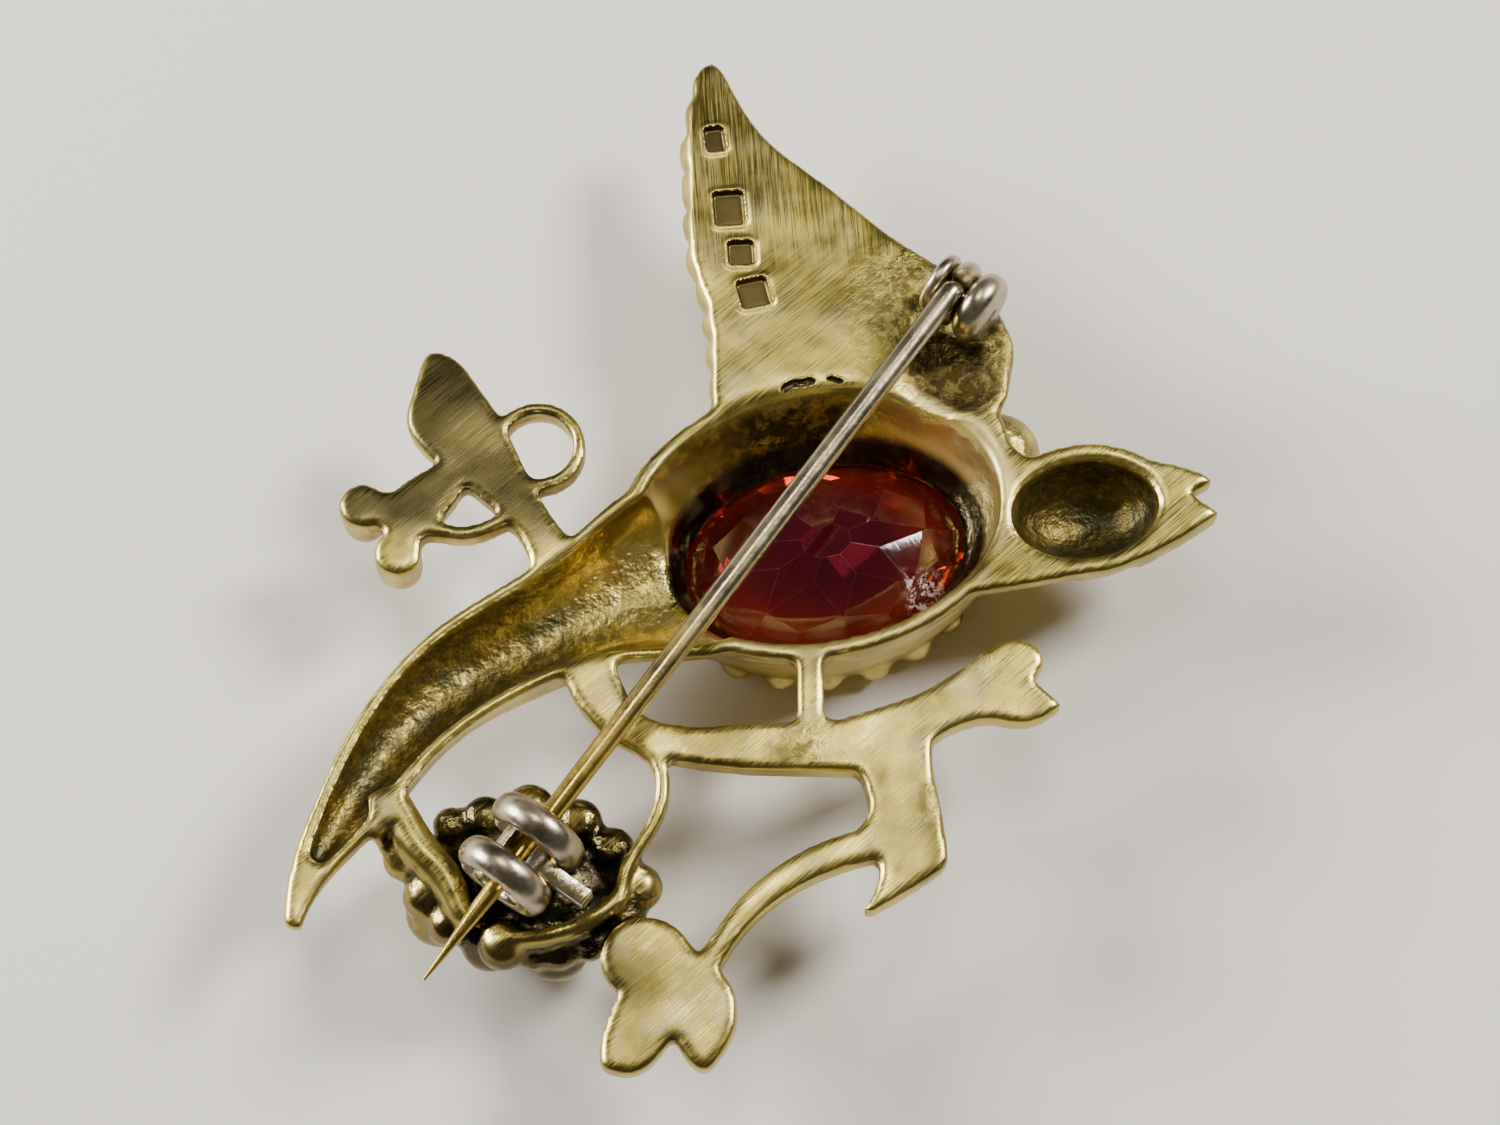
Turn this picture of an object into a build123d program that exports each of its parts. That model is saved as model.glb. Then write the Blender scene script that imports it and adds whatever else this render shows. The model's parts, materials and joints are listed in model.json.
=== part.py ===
"""A bird brooch that lies face down: its flat back is up, its stone and relief point at the floor.

Millimetres, +Z up. The plan is seen from the back, with +X to the bird's beak and +Y to the wing tip.
"""

from build123d import *
from math import atan2, cos, degrees, hypot, radians, sin
import os

os.makedirs("parts", exist_ok=True)

# Heights of the casting
casting_depth = 6.6  # from the front of the bezel to the flat back
plate = 1.2  # flat leaves, straps and the wing
relief = 0.5  # feathers and veins raised on the front

# Body shell, an oval that leans by body_turn
body_length = 17.0
body_width = 12.7
body_turn = 13.0
rim_wall = 0.7  # narrow rim round the hollow back
back_shift = 0.85  # the back's oval lies this far towards the wing
ledge = 0.45  # ring that holds the stone from behind
ledge_thick = 0.3
scale_count = 20  # scales round the bezel
scale_size = 1.1  # half the length of a scale

# Oval stone
stone_length = 13.0
stone_width = 9.2
crown_height = 1.6
girdle = 0.3
pavilion_height = 3.3
table_share = 0.6  # table across, as a share of the girdle
culet_share = 0.74  # height of the small flat behind, as a share of the pavilion
stone_along = 0.34  # middle of the stone, from the middle of the body
stone_across = 0.38
stone_gap = 0.06
table_sink = 0.15  # how far the table lies behind the bezel's front

# Neck, head and beak
neck_length = 2.55
neck_drop = 1.4
head_length = 7.8
head_width = 5.95
head_depth = 3.6
head_wall = 0.75
head_turn = 10.0
beak_reach = 5.6
beak_plate = 1.3
eye_size = 0.95

# Tail channel
tail_length = 21.4
tail_width = 8.2
tail_depth = 3.3
tail_turn = 225.8
tail_wall = 0.5

# Wing
wing_span = 18.0
wing_breadth = 14.1
lobe_radius = 1.9
scoop_length = 5.8
scoop_width = 3.7
scoop_depth = 1.5
scoop_wall = 0.5
feather_width = 2.1

# Twig with its leaf, loop, flower and berries
twig_length = 10.6
twig_width = 3.5
twig_turn = 119.5
loop_radius = 2.0
wire_band = 0.5
wire_height = 1.3
berry_radius = 0.98
berry_depth = 2.7

# Branch with its leaves, strut, stem and trefoil
branch_length = 13.0
branch_drop = 3.3
strap_width = 2.0
strut_width = 1.1
fork_length = 9.4
fork_width = 4.0
fork_turn = 17.0
hang_length = 6.3
hang_width = 4.0
stem_width = 1.15
stem_reach = 6.4
stem_fall = 4.8
trefoil_width = 5.5
trefoil_length = 6.4
tendril_width = 0.6
vein_width = 0.5

# Blossom cluster and its arm
cluster_length = 9.0
cluster_width = 5.8
cluster_turn = -8.0
cluster_dip = 1.5  # hollow in the middle of its back
blossom_radius = 1.15
arm_width = 1.7
ridge_width = 0.8

# Hinge on the wing
knuckle_radius = 1.6
left_knuckle = 0.6  # thickness of the thin knuckle, on the -X side of the pin
right_knuckle = 1.25  # thickness of the bead-like knuckle, on the +X side of the pin
knuckle_gap = 1.1
hinge_height = 1.9  # rivet above the flat back
rivet_radius = 0.35
pivot_gap = 0.04

# Pin
pin_radius = 0.5
pin_tip_radius = 0.07
pin_thin = 0.86  # radius at the catch, as a share of the radius at the hinge
pin_overhang = 6.3  # past the middle of the catch
point_length = 4.6

# Catch on the cluster
ring_radius = 2.1
ring_thick = 1.35
ring_slot = 0.85
catch_height = 1.75  # pin above the flat back, at the catch
rotor_radius = 1.1
rotor_bore = 0.62
rotor_gap = 1.1
tab_reach = 3.3
tab_width = 0.8
turn_gap = 0.05
mouth = 1.2


def spot(origin, turn, along, across):
    """A point in plan, counted from a piece's own origin and direction."""
    angle = radians(turn)
    return (
        origin[0] + along * cos(angle) - across * sin(angle),
        origin[1] + along * sin(angle) + across * cos(angle),
    )


def body_spot(along, across):
    """A point in plan, as shares of the body's half length and half width."""
    return spot((0, 0), body_turn, along * body_length / 2, across * body_width / 2)


def outline(rows, origin, turn, length, width):
    """A closed flat face. Rows hold (along, across, kind); a stretch between corners is smooth."""
    points = [spot(origin, turn, row[0] * length, row[1] * width) for row in rows]
    corners = [index for index, row in enumerate(rows) if row[2] == "corner"]
    edges = []
    for first, last in zip(corners, corners[1:] + [corners[0] + len(rows)]):
        stretch = [points[index % len(points)] for index in range(first, last + 1)]
        edges.append(Line(*stretch) if len(stretch) == 2 else Spline(*stretch))
    return make_face(edges)


def heading(points, index):
    """The direction of a centre line at one of its points, in degrees."""
    before = points[max(index - 1, 0)]
    after = points[min(index + 1, len(points) - 1)]
    return degrees(atan2(after[1] - before[1], after[0] - before[0]))


def ribbon(points, widths):
    """A closed flat face along a centre line, with a width at each of its points."""
    left = []
    right = []
    for index, (point, width) in enumerate(zip(points, widths)):
        turn = heading(points, index)
        left.append(spot(point, turn, 0, width / 2))
        right.append(spot(point, turn, 0, -width / 2))
    sides = [Spline(*left), Line(left[-1], right[-1]), Spline(*right[::-1]), Line(right[0], left[0])]
    return make_face(sides)


def slab(face, top, thick):
    """A flat face made into a plate whose upper side lies at top."""
    return Pos(0, 0, top - thick) * extrude(face, thick)


def back_plate(face, thick=plate):
    """A plate that is flush with the flat back."""
    return slab(face, casting_depth, thick)


def middle_at(lean):
    """The middle of an oval of the body, from the stone's middle at 0 to the back's at 1."""
    return (stone_along * (1 - lean), stone_across + lean * (back_shift - stone_across))


def oval_loft(sections):
    """A loft through level ovals of the body. Sections hold (height, length, width, lean)."""
    ovals = []
    for height, long, wide, lean in sections:
        along, across = middle_at(lean)
        ovals.append(Pos(along, across, height) * Ellipse(long / 2, wide / 2))
    return Rot(0, 0, body_turn) * loft(ovals)


def channel_loft(points, widths, depths, level=casting_depth):
    """A loft through upright ovals along a centre line whose middle lies at a level."""
    sections = []
    for index, (point, width, depth) in enumerate(zip(points, widths, depths)):
        turn = radians(heading(points, index))
        plane = Plane(
            origin=(point[0], point[1], level),
            x_dir=(-sin(turn), cos(turn), 0),
            z_dir=(cos(turn), sin(turn), 0),
        )
        sections.append(plane * Ellipse(width / 2, depth))
    return loft(sections)


def ellipsoid(centre, long, wide, depth, turn):
    """A rounded lump with half sizes long, wide and depth."""
    return Pos(*centre) * Rot(0, 0, turn) * scale(Sphere(1), by=(long, wide, depth))


def below_back(shape):
    """What is left of a shape when all above the flat back is filed off."""
    size = 2 * (body_length + wing_span)
    return shape - Pos(0, 0, casting_depth + size / 2) * Box(size * 2, size * 2, size)


def feather(start, end, width, top, low):
    """One feather with a round end, a flat raised shape between two heights."""
    turn = degrees(atan2(end[1] - start[1], end[0] - start[0]))
    length = hypot(end[0] - start[0], end[1] - start[1])
    # Columns: along, across, kind
    rows = (
        (0.00, -0.20, "corner"),
        (0.35, -0.42, "smooth"),
        (0.80, -0.48, "smooth"),
        (1.00, 0.00, "smooth"),
        (0.80, 0.48, "smooth"),
        (0.35, 0.42, "smooth"),
        (0.00, 0.20, "corner"),
    )
    return slab(outline(rows, start, turn, length, width), top, top - low)


# Stone
girdle_top = table_sink + crown_height + girdle


def facet(count, offset, steep, reach, up):
    """Blocks that each grind one facet of a tier, by its rise over the half width and reach on the girdle."""
    blocks = []
    half_long = stone_length / 2
    half_wide = stone_width / 2
    big = 3 * stone_length
    for index in range(count):
        angle = radians(offset + 360 * index / count)
        normal = Vector(steep * cos(angle) / half_long, steep * sin(angle) / half_wide, up)
        foot = Vector(
            half_long * cos(angle) * reach,
            half_wide * sin(angle) * reach,
            girdle_top if up > 0 else girdle_top - girdle,
        )
        blocks.append(Plane(origin=foot, z_dir=normal) * Pos(0, 0, big / 2) * Box(big, big, big))
    return blocks


def oval_stone():
    """The stone, table down. Each tier of facets is ground off an oval blank."""
    height = crown_height + girdle + pavilion_height
    stone = Pos(0, 0, table_sink + height / 2) * extrude(
        Ellipse(stone_length / 2, stone_width / 2), height / 2, both=True
    )
    crown = crown_height / (1 - table_share)
    keel = pavilion_height
    # Columns: facets, first direction, rise over the half width, reach as a share of the girdle, side
    tiers = (
        (8, 22.5, crown, 1.00, -1),
        (16, 11.25, 1.21 * crown, 1.00, -1),
        (8, 0.0, 0.62 * crown, 1.22, -1),
        (16, 11.25, 1.25 * keel, 1.00, 1),
        (8, 22.5, 0.80 * keel, 1.15, 1),
        (8, 0.0, 0.62 * keel, 1.35, 1),
    )
    for count, offset, steep, reach, up in tiers:
        stone = stone - facet(count, offset, steep, reach, up)
    culet_level = girdle_top + culet_share * pavilion_height
    stone = stone - Pos(0, 0, culet_level + height) * Box(2 * stone_length, 2 * stone_length, 2 * height)
    return Rot(0, 0, body_turn) * Pos(stone_along, stone_across, 0) * stone


# Body
def body_outside():
    """The rounded outside of the body, from the back's rim to the bezel's front edge."""
    # Columns: height as a share of the casting's depth, shares of the length and width, lean to the back
    profile = (
        (0.00, 0.74, 0.71, 0.0),
        (0.12, 0.79, 0.77, 0.0),
        (0.31, 0.84, 0.81, 0.0),
        (0.55, 0.92, 0.875, 0.25),
        (0.80, 0.98, 0.96, 0.7),
        (1.00, 1.00, 1.00, 1.0),
    )
    sections = []
    for level, long_share, wide_share, lean in profile:
        sections.append((level * casting_depth, long_share * body_length, wide_share * body_width, lean))
    return oval_loft(sections)


def body_hollow():
    """The bowl behind the stone, the stone's seat and the round opening in front of it."""
    throat_level = girdle_top + 0.16 * pavilion_height
    floor_level = 0.67 * casting_depth
    lip_level = 0.84 * casting_depth
    throat_long = stone_length - 2 * ledge
    throat_wide = stone_width - 2 * ledge
    floor_long = stone_length + 2.6 * ledge
    floor_wide = stone_width + 2.4 * ledge
    back_long = body_length - 2 * rim_wall
    back_wide = body_width - 2 * rim_wall
    collet = oval_loft(
        (
            (throat_level + ledge_thick, throat_long + ledge, throat_wide + ledge, 0),
            (floor_level, floor_long, floor_wide, 0),
        )
    )
    bowl = oval_loft(
        (
            (floor_level, floor_long, floor_wide, 0),
            (lip_level, 0.3 * floor_long + 0.7 * back_long, 0.3 * floor_wide + 0.7 * back_wide, 0.5),
            (casting_depth, back_long, back_wide, 1),
            (casting_depth + plate, back_long + rim_wall, back_wide + rim_wall, 1.2),
        )
    )
    seat = oval_loft(
        (
            (girdle_top - girdle - stone_gap, stone_length + 2 * stone_gap, stone_width + 2 * stone_gap, 0),
            (girdle_top + stone_gap, stone_length + 2 * stone_gap, stone_width + 2 * stone_gap, 0),
        )
    )
    shoulder = oval_loft(
        (
            (girdle_top, stone_length + 4 * stone_gap, stone_width + 4 * stone_gap, 0),
            (throat_level, throat_long, throat_wide, 0),
        )
    )
    throat = oval_loft(
        ((girdle_top + girdle, throat_long, throat_wide, 0), (casting_depth, throat_long, throat_wide, 0))
    )
    crown_share = table_share + 0.12
    front = oval_loft(
        (
            (-plate, stone_length * crown_share + ledge, stone_width * crown_share + ledge, 0),
            (girdle_top - girdle, stone_length + stone_gap, stone_width + stone_gap, 0),
        )
    )
    return [bowl, collet, seat, shoulder, throat, front]


# Neck and head
head_centre = spot((0, 0), body_turn, body_length / 2 + neck_length, -neck_drop)


def neck():
    """The rounded neck, from the body's shoulder to the middle of the head."""
    shoulder = spot((0, 0), body_turn, 0.39 * body_length, -0.02 * body_width)
    throat = spot((0, 0), body_turn, 0.49 * body_length, -neck_drop * 0.9)
    widths = (0.68 * body_width, 0.48 * body_width, 0.96 * head_width)
    depths = (0.55 * casting_depth, 0.44 * casting_depth, 0.9 * head_depth)
    return below_back(channel_loft([shoulder, throat, head_centre], widths, depths))


def head_outside():
    """The rounded head and the two halves of the open beak."""
    centre = (head_centre[0], head_centre[1], casting_depth)
    skull = ellipsoid(centre, head_length / 2, head_width / 2, head_depth, head_turn)
    # Columns: along the beak as a share of its reach, across as a share of the head's width, kind
    beak_rows = (
        (0.30, 0.41, "corner"),
        (0.62, 0.27, "smooth"),
        (0.90, 0.14, "smooth"),
        (1.00, 0.05, "corner"),
        (0.80, -0.01, "corner"),
        (0.99, -0.20, "corner"),
        (0.74, -0.31, "smooth"),
        (0.32, -0.45, "corner"),
    )
    beak = back_plate(outline(beak_rows, head_centre, head_turn, beak_reach, head_width), beak_plate)
    return [below_back(skull), beak]


def head_hollow():
    """The hollow in the back of the head."""
    centre = (head_centre[0], head_centre[1], casting_depth)
    return ellipsoid(
        centre, head_length / 2 - head_wall, head_width / 2 - head_wall, head_depth - head_wall, head_turn
    )


def eye():
    """The raised eye on the front of the head."""
    place = spot(head_centre, head_turn, 0.14 * head_length, 0.12 * head_width)
    return Pos(place[0], place[1], casting_depth - head_depth * 0.93) * Sphere(eye_size / 2)


# Tail
tail_root = body_spot(-0.78, -0.04)
# Columns: along the tail, across it, width, depth, hollow's width
tail_rows = (
    (-0.13, 0.05, 0.95, 1.00, 0.84),
    (0.00, 0.00, 1.00, 1.00, 0.85),
    (0.09, -0.04, 0.82, 1.00, 0.84),
    (0.20, -0.08, 0.63, 0.95, 0.82),
    (0.42, -0.14, 0.53, 0.86, 0.79),
    (0.58, -0.14, 0.45, 0.74, 0.75),
    (0.75, -0.10, 0.36, 0.52, 0.66),
    (0.88, -0.065, 0.20, 0.36, 0.45),
    (1.00, 0.00, 0.04, 0.16, 0.00),
)


def tail_spot(along, across):
    """A point in plan, as shares of the tail's length."""
    return spot(tail_root, tail_turn, along * tail_length, across * tail_length)


def tail_outside():
    """The tail's outside, which comes to a point."""
    points = [tail_spot(row[0], row[1]) for row in tail_rows]
    widths = [row[2] * tail_width for row in tail_rows]
    depths = [row[3] * tail_depth for row in tail_rows]
    return below_back(channel_loft(points, widths, depths))


def tail_ribs():
    """Long feathers along the tail's front, as ribs that follow its round."""
    rows = tail_rows[3:]
    points = [tail_spot(row[0], row[1]) for row in rows]
    widths = [row[2] * tail_width + 1.2 * relief for row in rows]
    depths = [row[3] * tail_depth + 0.6 * relief for row in rows]
    skin = channel_loft(points, widths, depths)
    ribs = []
    for side in (-0.30, 0.0, 0.30):
        line = []
        for index, width in enumerate(widths):
            line.append(spot(points[index], heading(points, index), 0, side * width))
        face = ribbon(line, [0.20 * width for width in widths])
        ribs.append(skin & slab(face, casting_depth, casting_depth))
    return ribs


def tail_hollow():
    """The channel along the tail's back, open to the body's hollow."""
    hollow_rows = [row for row in tail_rows if row[4] > 0]
    points = [tail_spot(row[0], row[1]) for row in hollow_rows]
    widths = [row[2] * row[4] * tail_width for row in hollow_rows]
    depths = [max(row[3] * tail_depth - tail_wall, tail_wall) for row in hollow_rows]
    return channel_loft(points, widths, depths)


# Wing
wing_corner = (body_spot(0, 0)[0] - 0.34 * body_length, 0.36 * body_width)
# Columns: across the wing as a share of its breadth, up as a share of its span, kind
wing_rows = (
    (0.10, -0.06, "corner"),
    (0.08, 0.10, "smooth"),
    (0.08, 0.22, "smooth"),
    (0.06, 0.36, "corner"),
    (0.03, 0.42, "smooth"),
    (0.01, 0.52, "smooth"),
    (0.01, 0.67, "smooth"),
    (0.00, 0.83, "smooth"),
    (0.02, 0.91, "corner"),
    (0.03, 0.97, "smooth"),
    (0.07, 1.00, "smooth"),
    (0.14, 0.93, "smooth"),
    (0.27, 0.77, "smooth"),
    (0.45, 0.65, "smooth"),
    (0.62, 0.53, "smooth"),
    (0.78, 0.44, "smooth"),
    (0.93, 0.34, "smooth"),
    (1.00, 0.22, "smooth"),
    (0.98, 0.12, "smooth"),
    (0.92, -0.01, "corner"),
    (0.84, -0.10, "corner"),
)


def wing_spot(across, up):
    """A point in plan, as shares of the wing's breadth and span."""
    return (wing_corner[0] + across * wing_breadth, wing_corner[1] + up * wing_span)


def scoop_shape(wall):
    """The scoop beside the hinge, made larger by a wall."""
    place = wing_spot(0.757, 0.155)
    centre = (place[0], place[1], casting_depth)
    return ellipsoid(centre, scoop_length / 2 + wall, scoop_width / 2 + wall, scoop_depth + wall, -body_turn)


def wing():
    """The flat wing, the domed shoulder under its scoop, and the far wing's lobe behind its shoulder."""
    flat = back_plate(outline(wing_rows, wing_corner, 0, wing_breadth, wing_span))
    lobe_place = body_spot(1.02, 0.52)
    centre = (lobe_place[0], lobe_place[1], 0.43 * casting_depth)
    shoulder = below_back(scoop_shape(scoop_wall))
    return [flat, shoulder, ellipsoid(centre, lobe_radius, lobe_radius, 1.1 * plate, 0)]


def wing_feathers():
    """Three fanned rows of feathers on the wing's front. The long ones scallop its far edge."""
    hub = wing_spot(0.88, 0.15)
    # Columns: across, up, where the long feathers end
    ends = (
        (0.05, 0.985),
        (0.00, 0.89),
        (-0.02, 0.79),
        (-0.02, 0.69),
        (-0.01, 0.59),
        (0.00, 0.49),
        (0.03, 0.40),
        (0.05, 0.31),
        (0.06, 0.22),
        (0.07, 0.13),
    )
    # Columns: start and end as shares of the way from the hub, every nth feather, depth of the relief
    rows = ((0.55, 1.0, 1, 0.5), (0.36, 0.68, 1, 0.8), (0.14, 0.45, 2, 1.1))
    limit_corner = (wing_corner[0] - 0.7 * relief, wing_corner[1])
    limit = slab(outline(wing_rows, limit_corner, 0, wing_breadth, wing_span), casting_depth, casting_depth)
    feathers = []
    for begin, finish, step, level in rows:
        for index, (across, up) in enumerate(ends[::step]):
            tip = wing_spot(across, up)
            start = (hub[0] + begin * (tip[0] - hub[0]), hub[1] + begin * (tip[1] - hub[1]))
            end = (hub[0] + finish * (tip[0] - hub[0]), hub[1] + finish * (tip[1] - hub[1]))
            high = casting_depth - (0.3 + 0.01 * len(feathers)) * plate
            low = casting_depth - plate - relief * (level + 0.05 * (index % 4))
            feathers.append(feather(start, end, feather_width, high, low) & limit)
    return feathers


# Twig
twig_root = tail_spot(0.128, -0.195)


def twig_spot(along, across):
    """A point in plan, in millimetres along and across the twig."""
    return spot(twig_root, twig_turn, along, across)


def ring_band(centre, outer, band, height):
    """A flat-backed ring of wire."""
    face = Circle(outer) - Circle(outer - band)
    return Pos(centre[0], centre[1], 0) * slab(face, casting_depth, height)


def berry(centre):
    """A berry: a flat back, a straight side and a domed front."""
    side = berry_depth - berry_radius
    stem = Pos(centre[0], centre[1], casting_depth - side) * extrude(Circle(berry_radius), side)
    return stem + Pos(centre[0], centre[1], casting_depth - side) * Sphere(berry_radius)


def twig():
    """The leaf on its stem, the curled loop, the flower with two berries and its tendril."""
    # Columns: along as a share of the twig's length, across as a share of its width, kind
    leaf_rows = (
        (-0.10, -0.38, "corner"),
        (0.05, -0.25, "smooth"),
        (0.44, -0.25, "smooth"),
        (0.64, -0.28, "smooth"),
        (0.80, -0.24, "smooth"),
        (0.93, -0.17, "smooth"),
        (1.00, 0.07, "smooth"),
        (0.95, 0.29, "smooth"),
        (0.85, 0.57, "smooth"),
        (0.80, 0.70, "smooth"),
        (0.70, 0.76, "smooth"),
        (0.54, 0.60, "corner"),
        (0.42, 0.50, "smooth"),
        (0.31, 0.38, "smooth"),
        (0.20, 0.28, "smooth"),
        (-0.06, 0.36, "corner"),
    )
    flower_rows = (
        (0.54, 0.55, "corner"),
        (0.553, 0.90, "smooth"),
        (0.53, 1.30, "corner"),
        (0.60, 1.60, "corner"),
        (0.50, 1.85, "corner"),
        (0.41, 1.60, "corner"),
        (0.33, 1.80, "corner"),
        (0.23, 1.55, "corner"),
        (0.30, 1.28, "corner"),
        (0.31, 1.10, "smooth"),
        (0.345, 0.93, "corner"),
        (0.38, 0.68, "smooth"),
        (0.44, 0.45, "corner"),
    )
    leaf = back_plate(outline(leaf_rows, twig_root, twig_turn, twig_length, twig_width))
    flower = back_plate(outline(flower_rows, twig_root, twig_turn, twig_length, twig_width))
    loop = ring_band(twig_spot(0.425 * twig_length, -0.51 * twig_width), loop_radius, wire_band, wire_height)
    # Columns: along and across, as shares of the twig's length and width
    curl_rows = ((0.33, 1.20), (0.275, 0.96), (0.235, 0.78), (0.215, 0.56), (0.215, 0.26))
    curl = [twig_spot(along * twig_length, across * twig_width) for along, across in curl_rows]
    tendril = back_plate(ribbon(curl, [tendril_width] * len(curl)))
    high_berry = berry(twig_spot(0.54 * twig_length, 1.70 * twig_width))
    low_berry = berry(twig_spot(0.29 * twig_length, 1.62 * twig_width))
    return [leaf, flower, loop, tendril, high_berry, low_berry]


# Branch
branch_root = body_spot(-1.265, -0.61)


def branch_spot(along, down):
    """A point in plan, as shares of the branch's length and drop."""
    return (branch_root[0] + along * branch_length, branch_root[1] - down * branch_drop)


hang_root = branch_spot(0.97, 1.10)
stem_start = (hang_root[0] - 0.30 * hang_width, hang_root[1] - 0.60 * hang_length)
stem_end = (stem_start[0] - stem_reach, stem_start[1] - stem_fall)
trefoil_centre = (stem_end[0] - 0.31 * trefoil_width, stem_end[1] - 0.21 * trefoil_length)


def branch():
    """The strap, the strut, two leaves, the curved stem and the trefoil."""
    strap_points = [
        branch_spot(-0.02, -0.15),
        branch_spot(0.06, 0.45),
        branch_spot(0.12, 0.70),
        branch_spot(0.25, 0.91),
        branch_spot(0.42, 0.98),
        branch_spot(0.62, 0.98),
        branch_spot(0.84, 0.97),
    ]
    strap_shares = (0.95, 0.95, 0.8, 0.75, 0.9, 1.05, 1.15)
    strap = back_plate(ribbon(strap_points, [share * strap_width for share in strap_shares]))
    strut_x = body_spot(0, 0)[0] - 0.03 * body_length
    strut_top = -0.415 * body_width
    strut_foot = branch_root[1] - branch_drop
    strut = back_plate(
        Pos(strut_x, (strut_top + strut_foot) / 2) * Rectangle(strut_width, strut_top - strut_foot)
    )
    # Columns: along, across, kind
    fork_rows = (
        (0.00, 0.28, "corner"),
        (0.19, 0.29, "smooth"),
        (0.39, 0.31, "smooth"),
        (0.58, 0.41, "smooth"),
        (0.74, 0.54, "smooth"),
        (0.85, 0.61, "smooth"),
        (0.95, 0.53, "smooth"),
        (1.00, 0.27, "corner"),
        (0.92, 0.11, "corner"),
        (1.00, -0.22, "corner"),
        (0.95, -0.28, "smooth"),
        (0.80, -0.30, "smooth"),
        (0.67, -0.16, "smooth"),
        (0.58, -0.14, "smooth"),
        (0.49, -0.16, "smooth"),
        (0.40, -0.23, "corner"),
        (0.00, -0.28, "corner"),
    )
    fork = back_plate(outline(fork_rows, branch_spot(0.78, 1.0), fork_turn, fork_length, fork_width))
    hang_rows = (
        (-0.15, 0.37, "corner"),
        (0.02, 0.36, "smooth"),
        (0.20, 0.39, "smooth"),
        (0.37, 0.44, "smooth"),
        (0.55, 0.48, "smooth"),
        (0.70, 0.50, "corner"),
        (0.76, 0.45, "corner"),
        (0.905, 0.11, "smooth"),
        (1.06, -0.31, "corner"),
        (1.05, -0.38, "corner"),
        (0.88, -0.23, "smooth"),
        (0.70, -0.19, "corner"),
        (0.60, -0.25, "corner"),
        (0.51, -0.44, "corner"),
        (0.34, -0.30, "smooth"),
        (0.15, -0.37, "smooth"),
        (-0.15, -0.40, "corner"),
    )
    hanging = back_plate(outline(hang_rows, hang_root, -90, hang_length, hang_width))
    stem_points = [
        stem_start,
        (stem_start[0] - 0.37 * stem_reach, stem_start[1] - 0.17 * stem_fall),
        (stem_start[0] - 0.57 * stem_reach, stem_start[1] - 0.33 * stem_fall),
        (stem_start[0] - 0.76 * stem_reach, stem_start[1] - 0.55 * stem_fall),
        (stem_start[0] - 0.90 * stem_reach, stem_start[1] - 0.79 * stem_fall),
        stem_end,
        trefoil_centre,
    ]
    stem_shares = (1.15, 1.15, 1.05, 0.95, 0.85, 0.9, 1.1)
    stem = back_plate(ribbon(stem_points, [share * stem_width for share in stem_shares]))
    # Columns: right and up, as shares of the trefoil's width and length, kind
    trefoil_rows = (
        (0.27, 0.20, "corner"),
        (0.16, 0.33, "smooth"),
        (0.00, 0.46, "smooth"),
        (-0.17, 0.49, "smooth"),
        (-0.33, 0.46, "smooth"),
        (-0.44, 0.36, "smooth"),
        (-0.485, 0.23, "smooth"),
        (-0.45, 0.11, "smooth"),
        (-0.32, 0.02, "corner"),
        (-0.39, -0.08, "smooth"),
        (-0.44, -0.20, "smooth"),
        (-0.48, -0.35, "smooth"),
        (-0.47, -0.46, "corner"),
        (-0.38, -0.495, "smooth"),
        (-0.21, -0.50, "smooth"),
        (-0.09, -0.43, "smooth"),
        (0.04, -0.23, "corner"),
        (0.10, -0.35, "smooth"),
        (0.185, -0.45, "smooth"),
        (0.27, -0.49, "smooth"),
        (0.385, -0.40, "smooth"),
        (0.485, -0.25, "smooth"),
        (0.51, -0.08, "smooth"),
        (0.47, 0.05, "smooth"),
        (0.38, 0.14, "corner"),
    )
    trefoil = back_plate(outline(trefoil_rows, trefoil_centre, 0, trefoil_width, trefoil_length))
    return [strap, strut, fork, hanging, stem, trefoil]


def leaf_relief():
    """Raised midribs on the leaves' fronts and domed fronts on the trefoil's lobes."""
    low = casting_depth - plate - 0.6 * relief
    fork_root = branch_spot(0.78, 1.0)
    fork_line = [spot(fork_root, fork_turn, share * fork_length, rise * fork_width)
                 for share, rise in ((0.05, 0.02), (0.45, 0.03), (0.72, 0.08), (0.88, 0.12))]
    hang_line = [spot(hang_root, -90, share * hang_length, rise * hang_width)
                 for share, rise in ((0.0, 0.02), (0.35, 0.05), (0.65, 0.10), (0.85, -0.05))]
    twig_line = [twig_spot(share * twig_length, rise * twig_width)
                 for share, rise in ((0.10, 0.03), (0.50, 0.08), (0.75, 0.20), (0.93, 0.16))]
    pieces = []
    for line in (fork_line, hang_line, twig_line):
        face = ribbon(line, (vein_width, vein_width, vein_width, 0.6 * vein_width))
        pieces.append(slab(face, casting_depth - 0.5 * plate, casting_depth - 0.5 * plate - low))
    # Columns: right and up, long and wide half sizes, all as shares of the trefoil's length, turn
    domes = ((-0.14, 0.27, 0.20, 0.17, 120), (-0.25, -0.29, 0.20, 0.13, 60), (0.25, -0.16, 0.22, 0.15, 80))
    for right, up, long, wide, turn in domes:
        middle = spot(trefoil_centre, 0, right * trefoil_length, up * trefoil_length)
        place = (middle[0], middle[1], casting_depth - plate)
        pieces.append(ellipsoid(place, long * trefoil_length, wide * trefoil_length, 1.2 * relief, turn))
    return pieces


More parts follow.
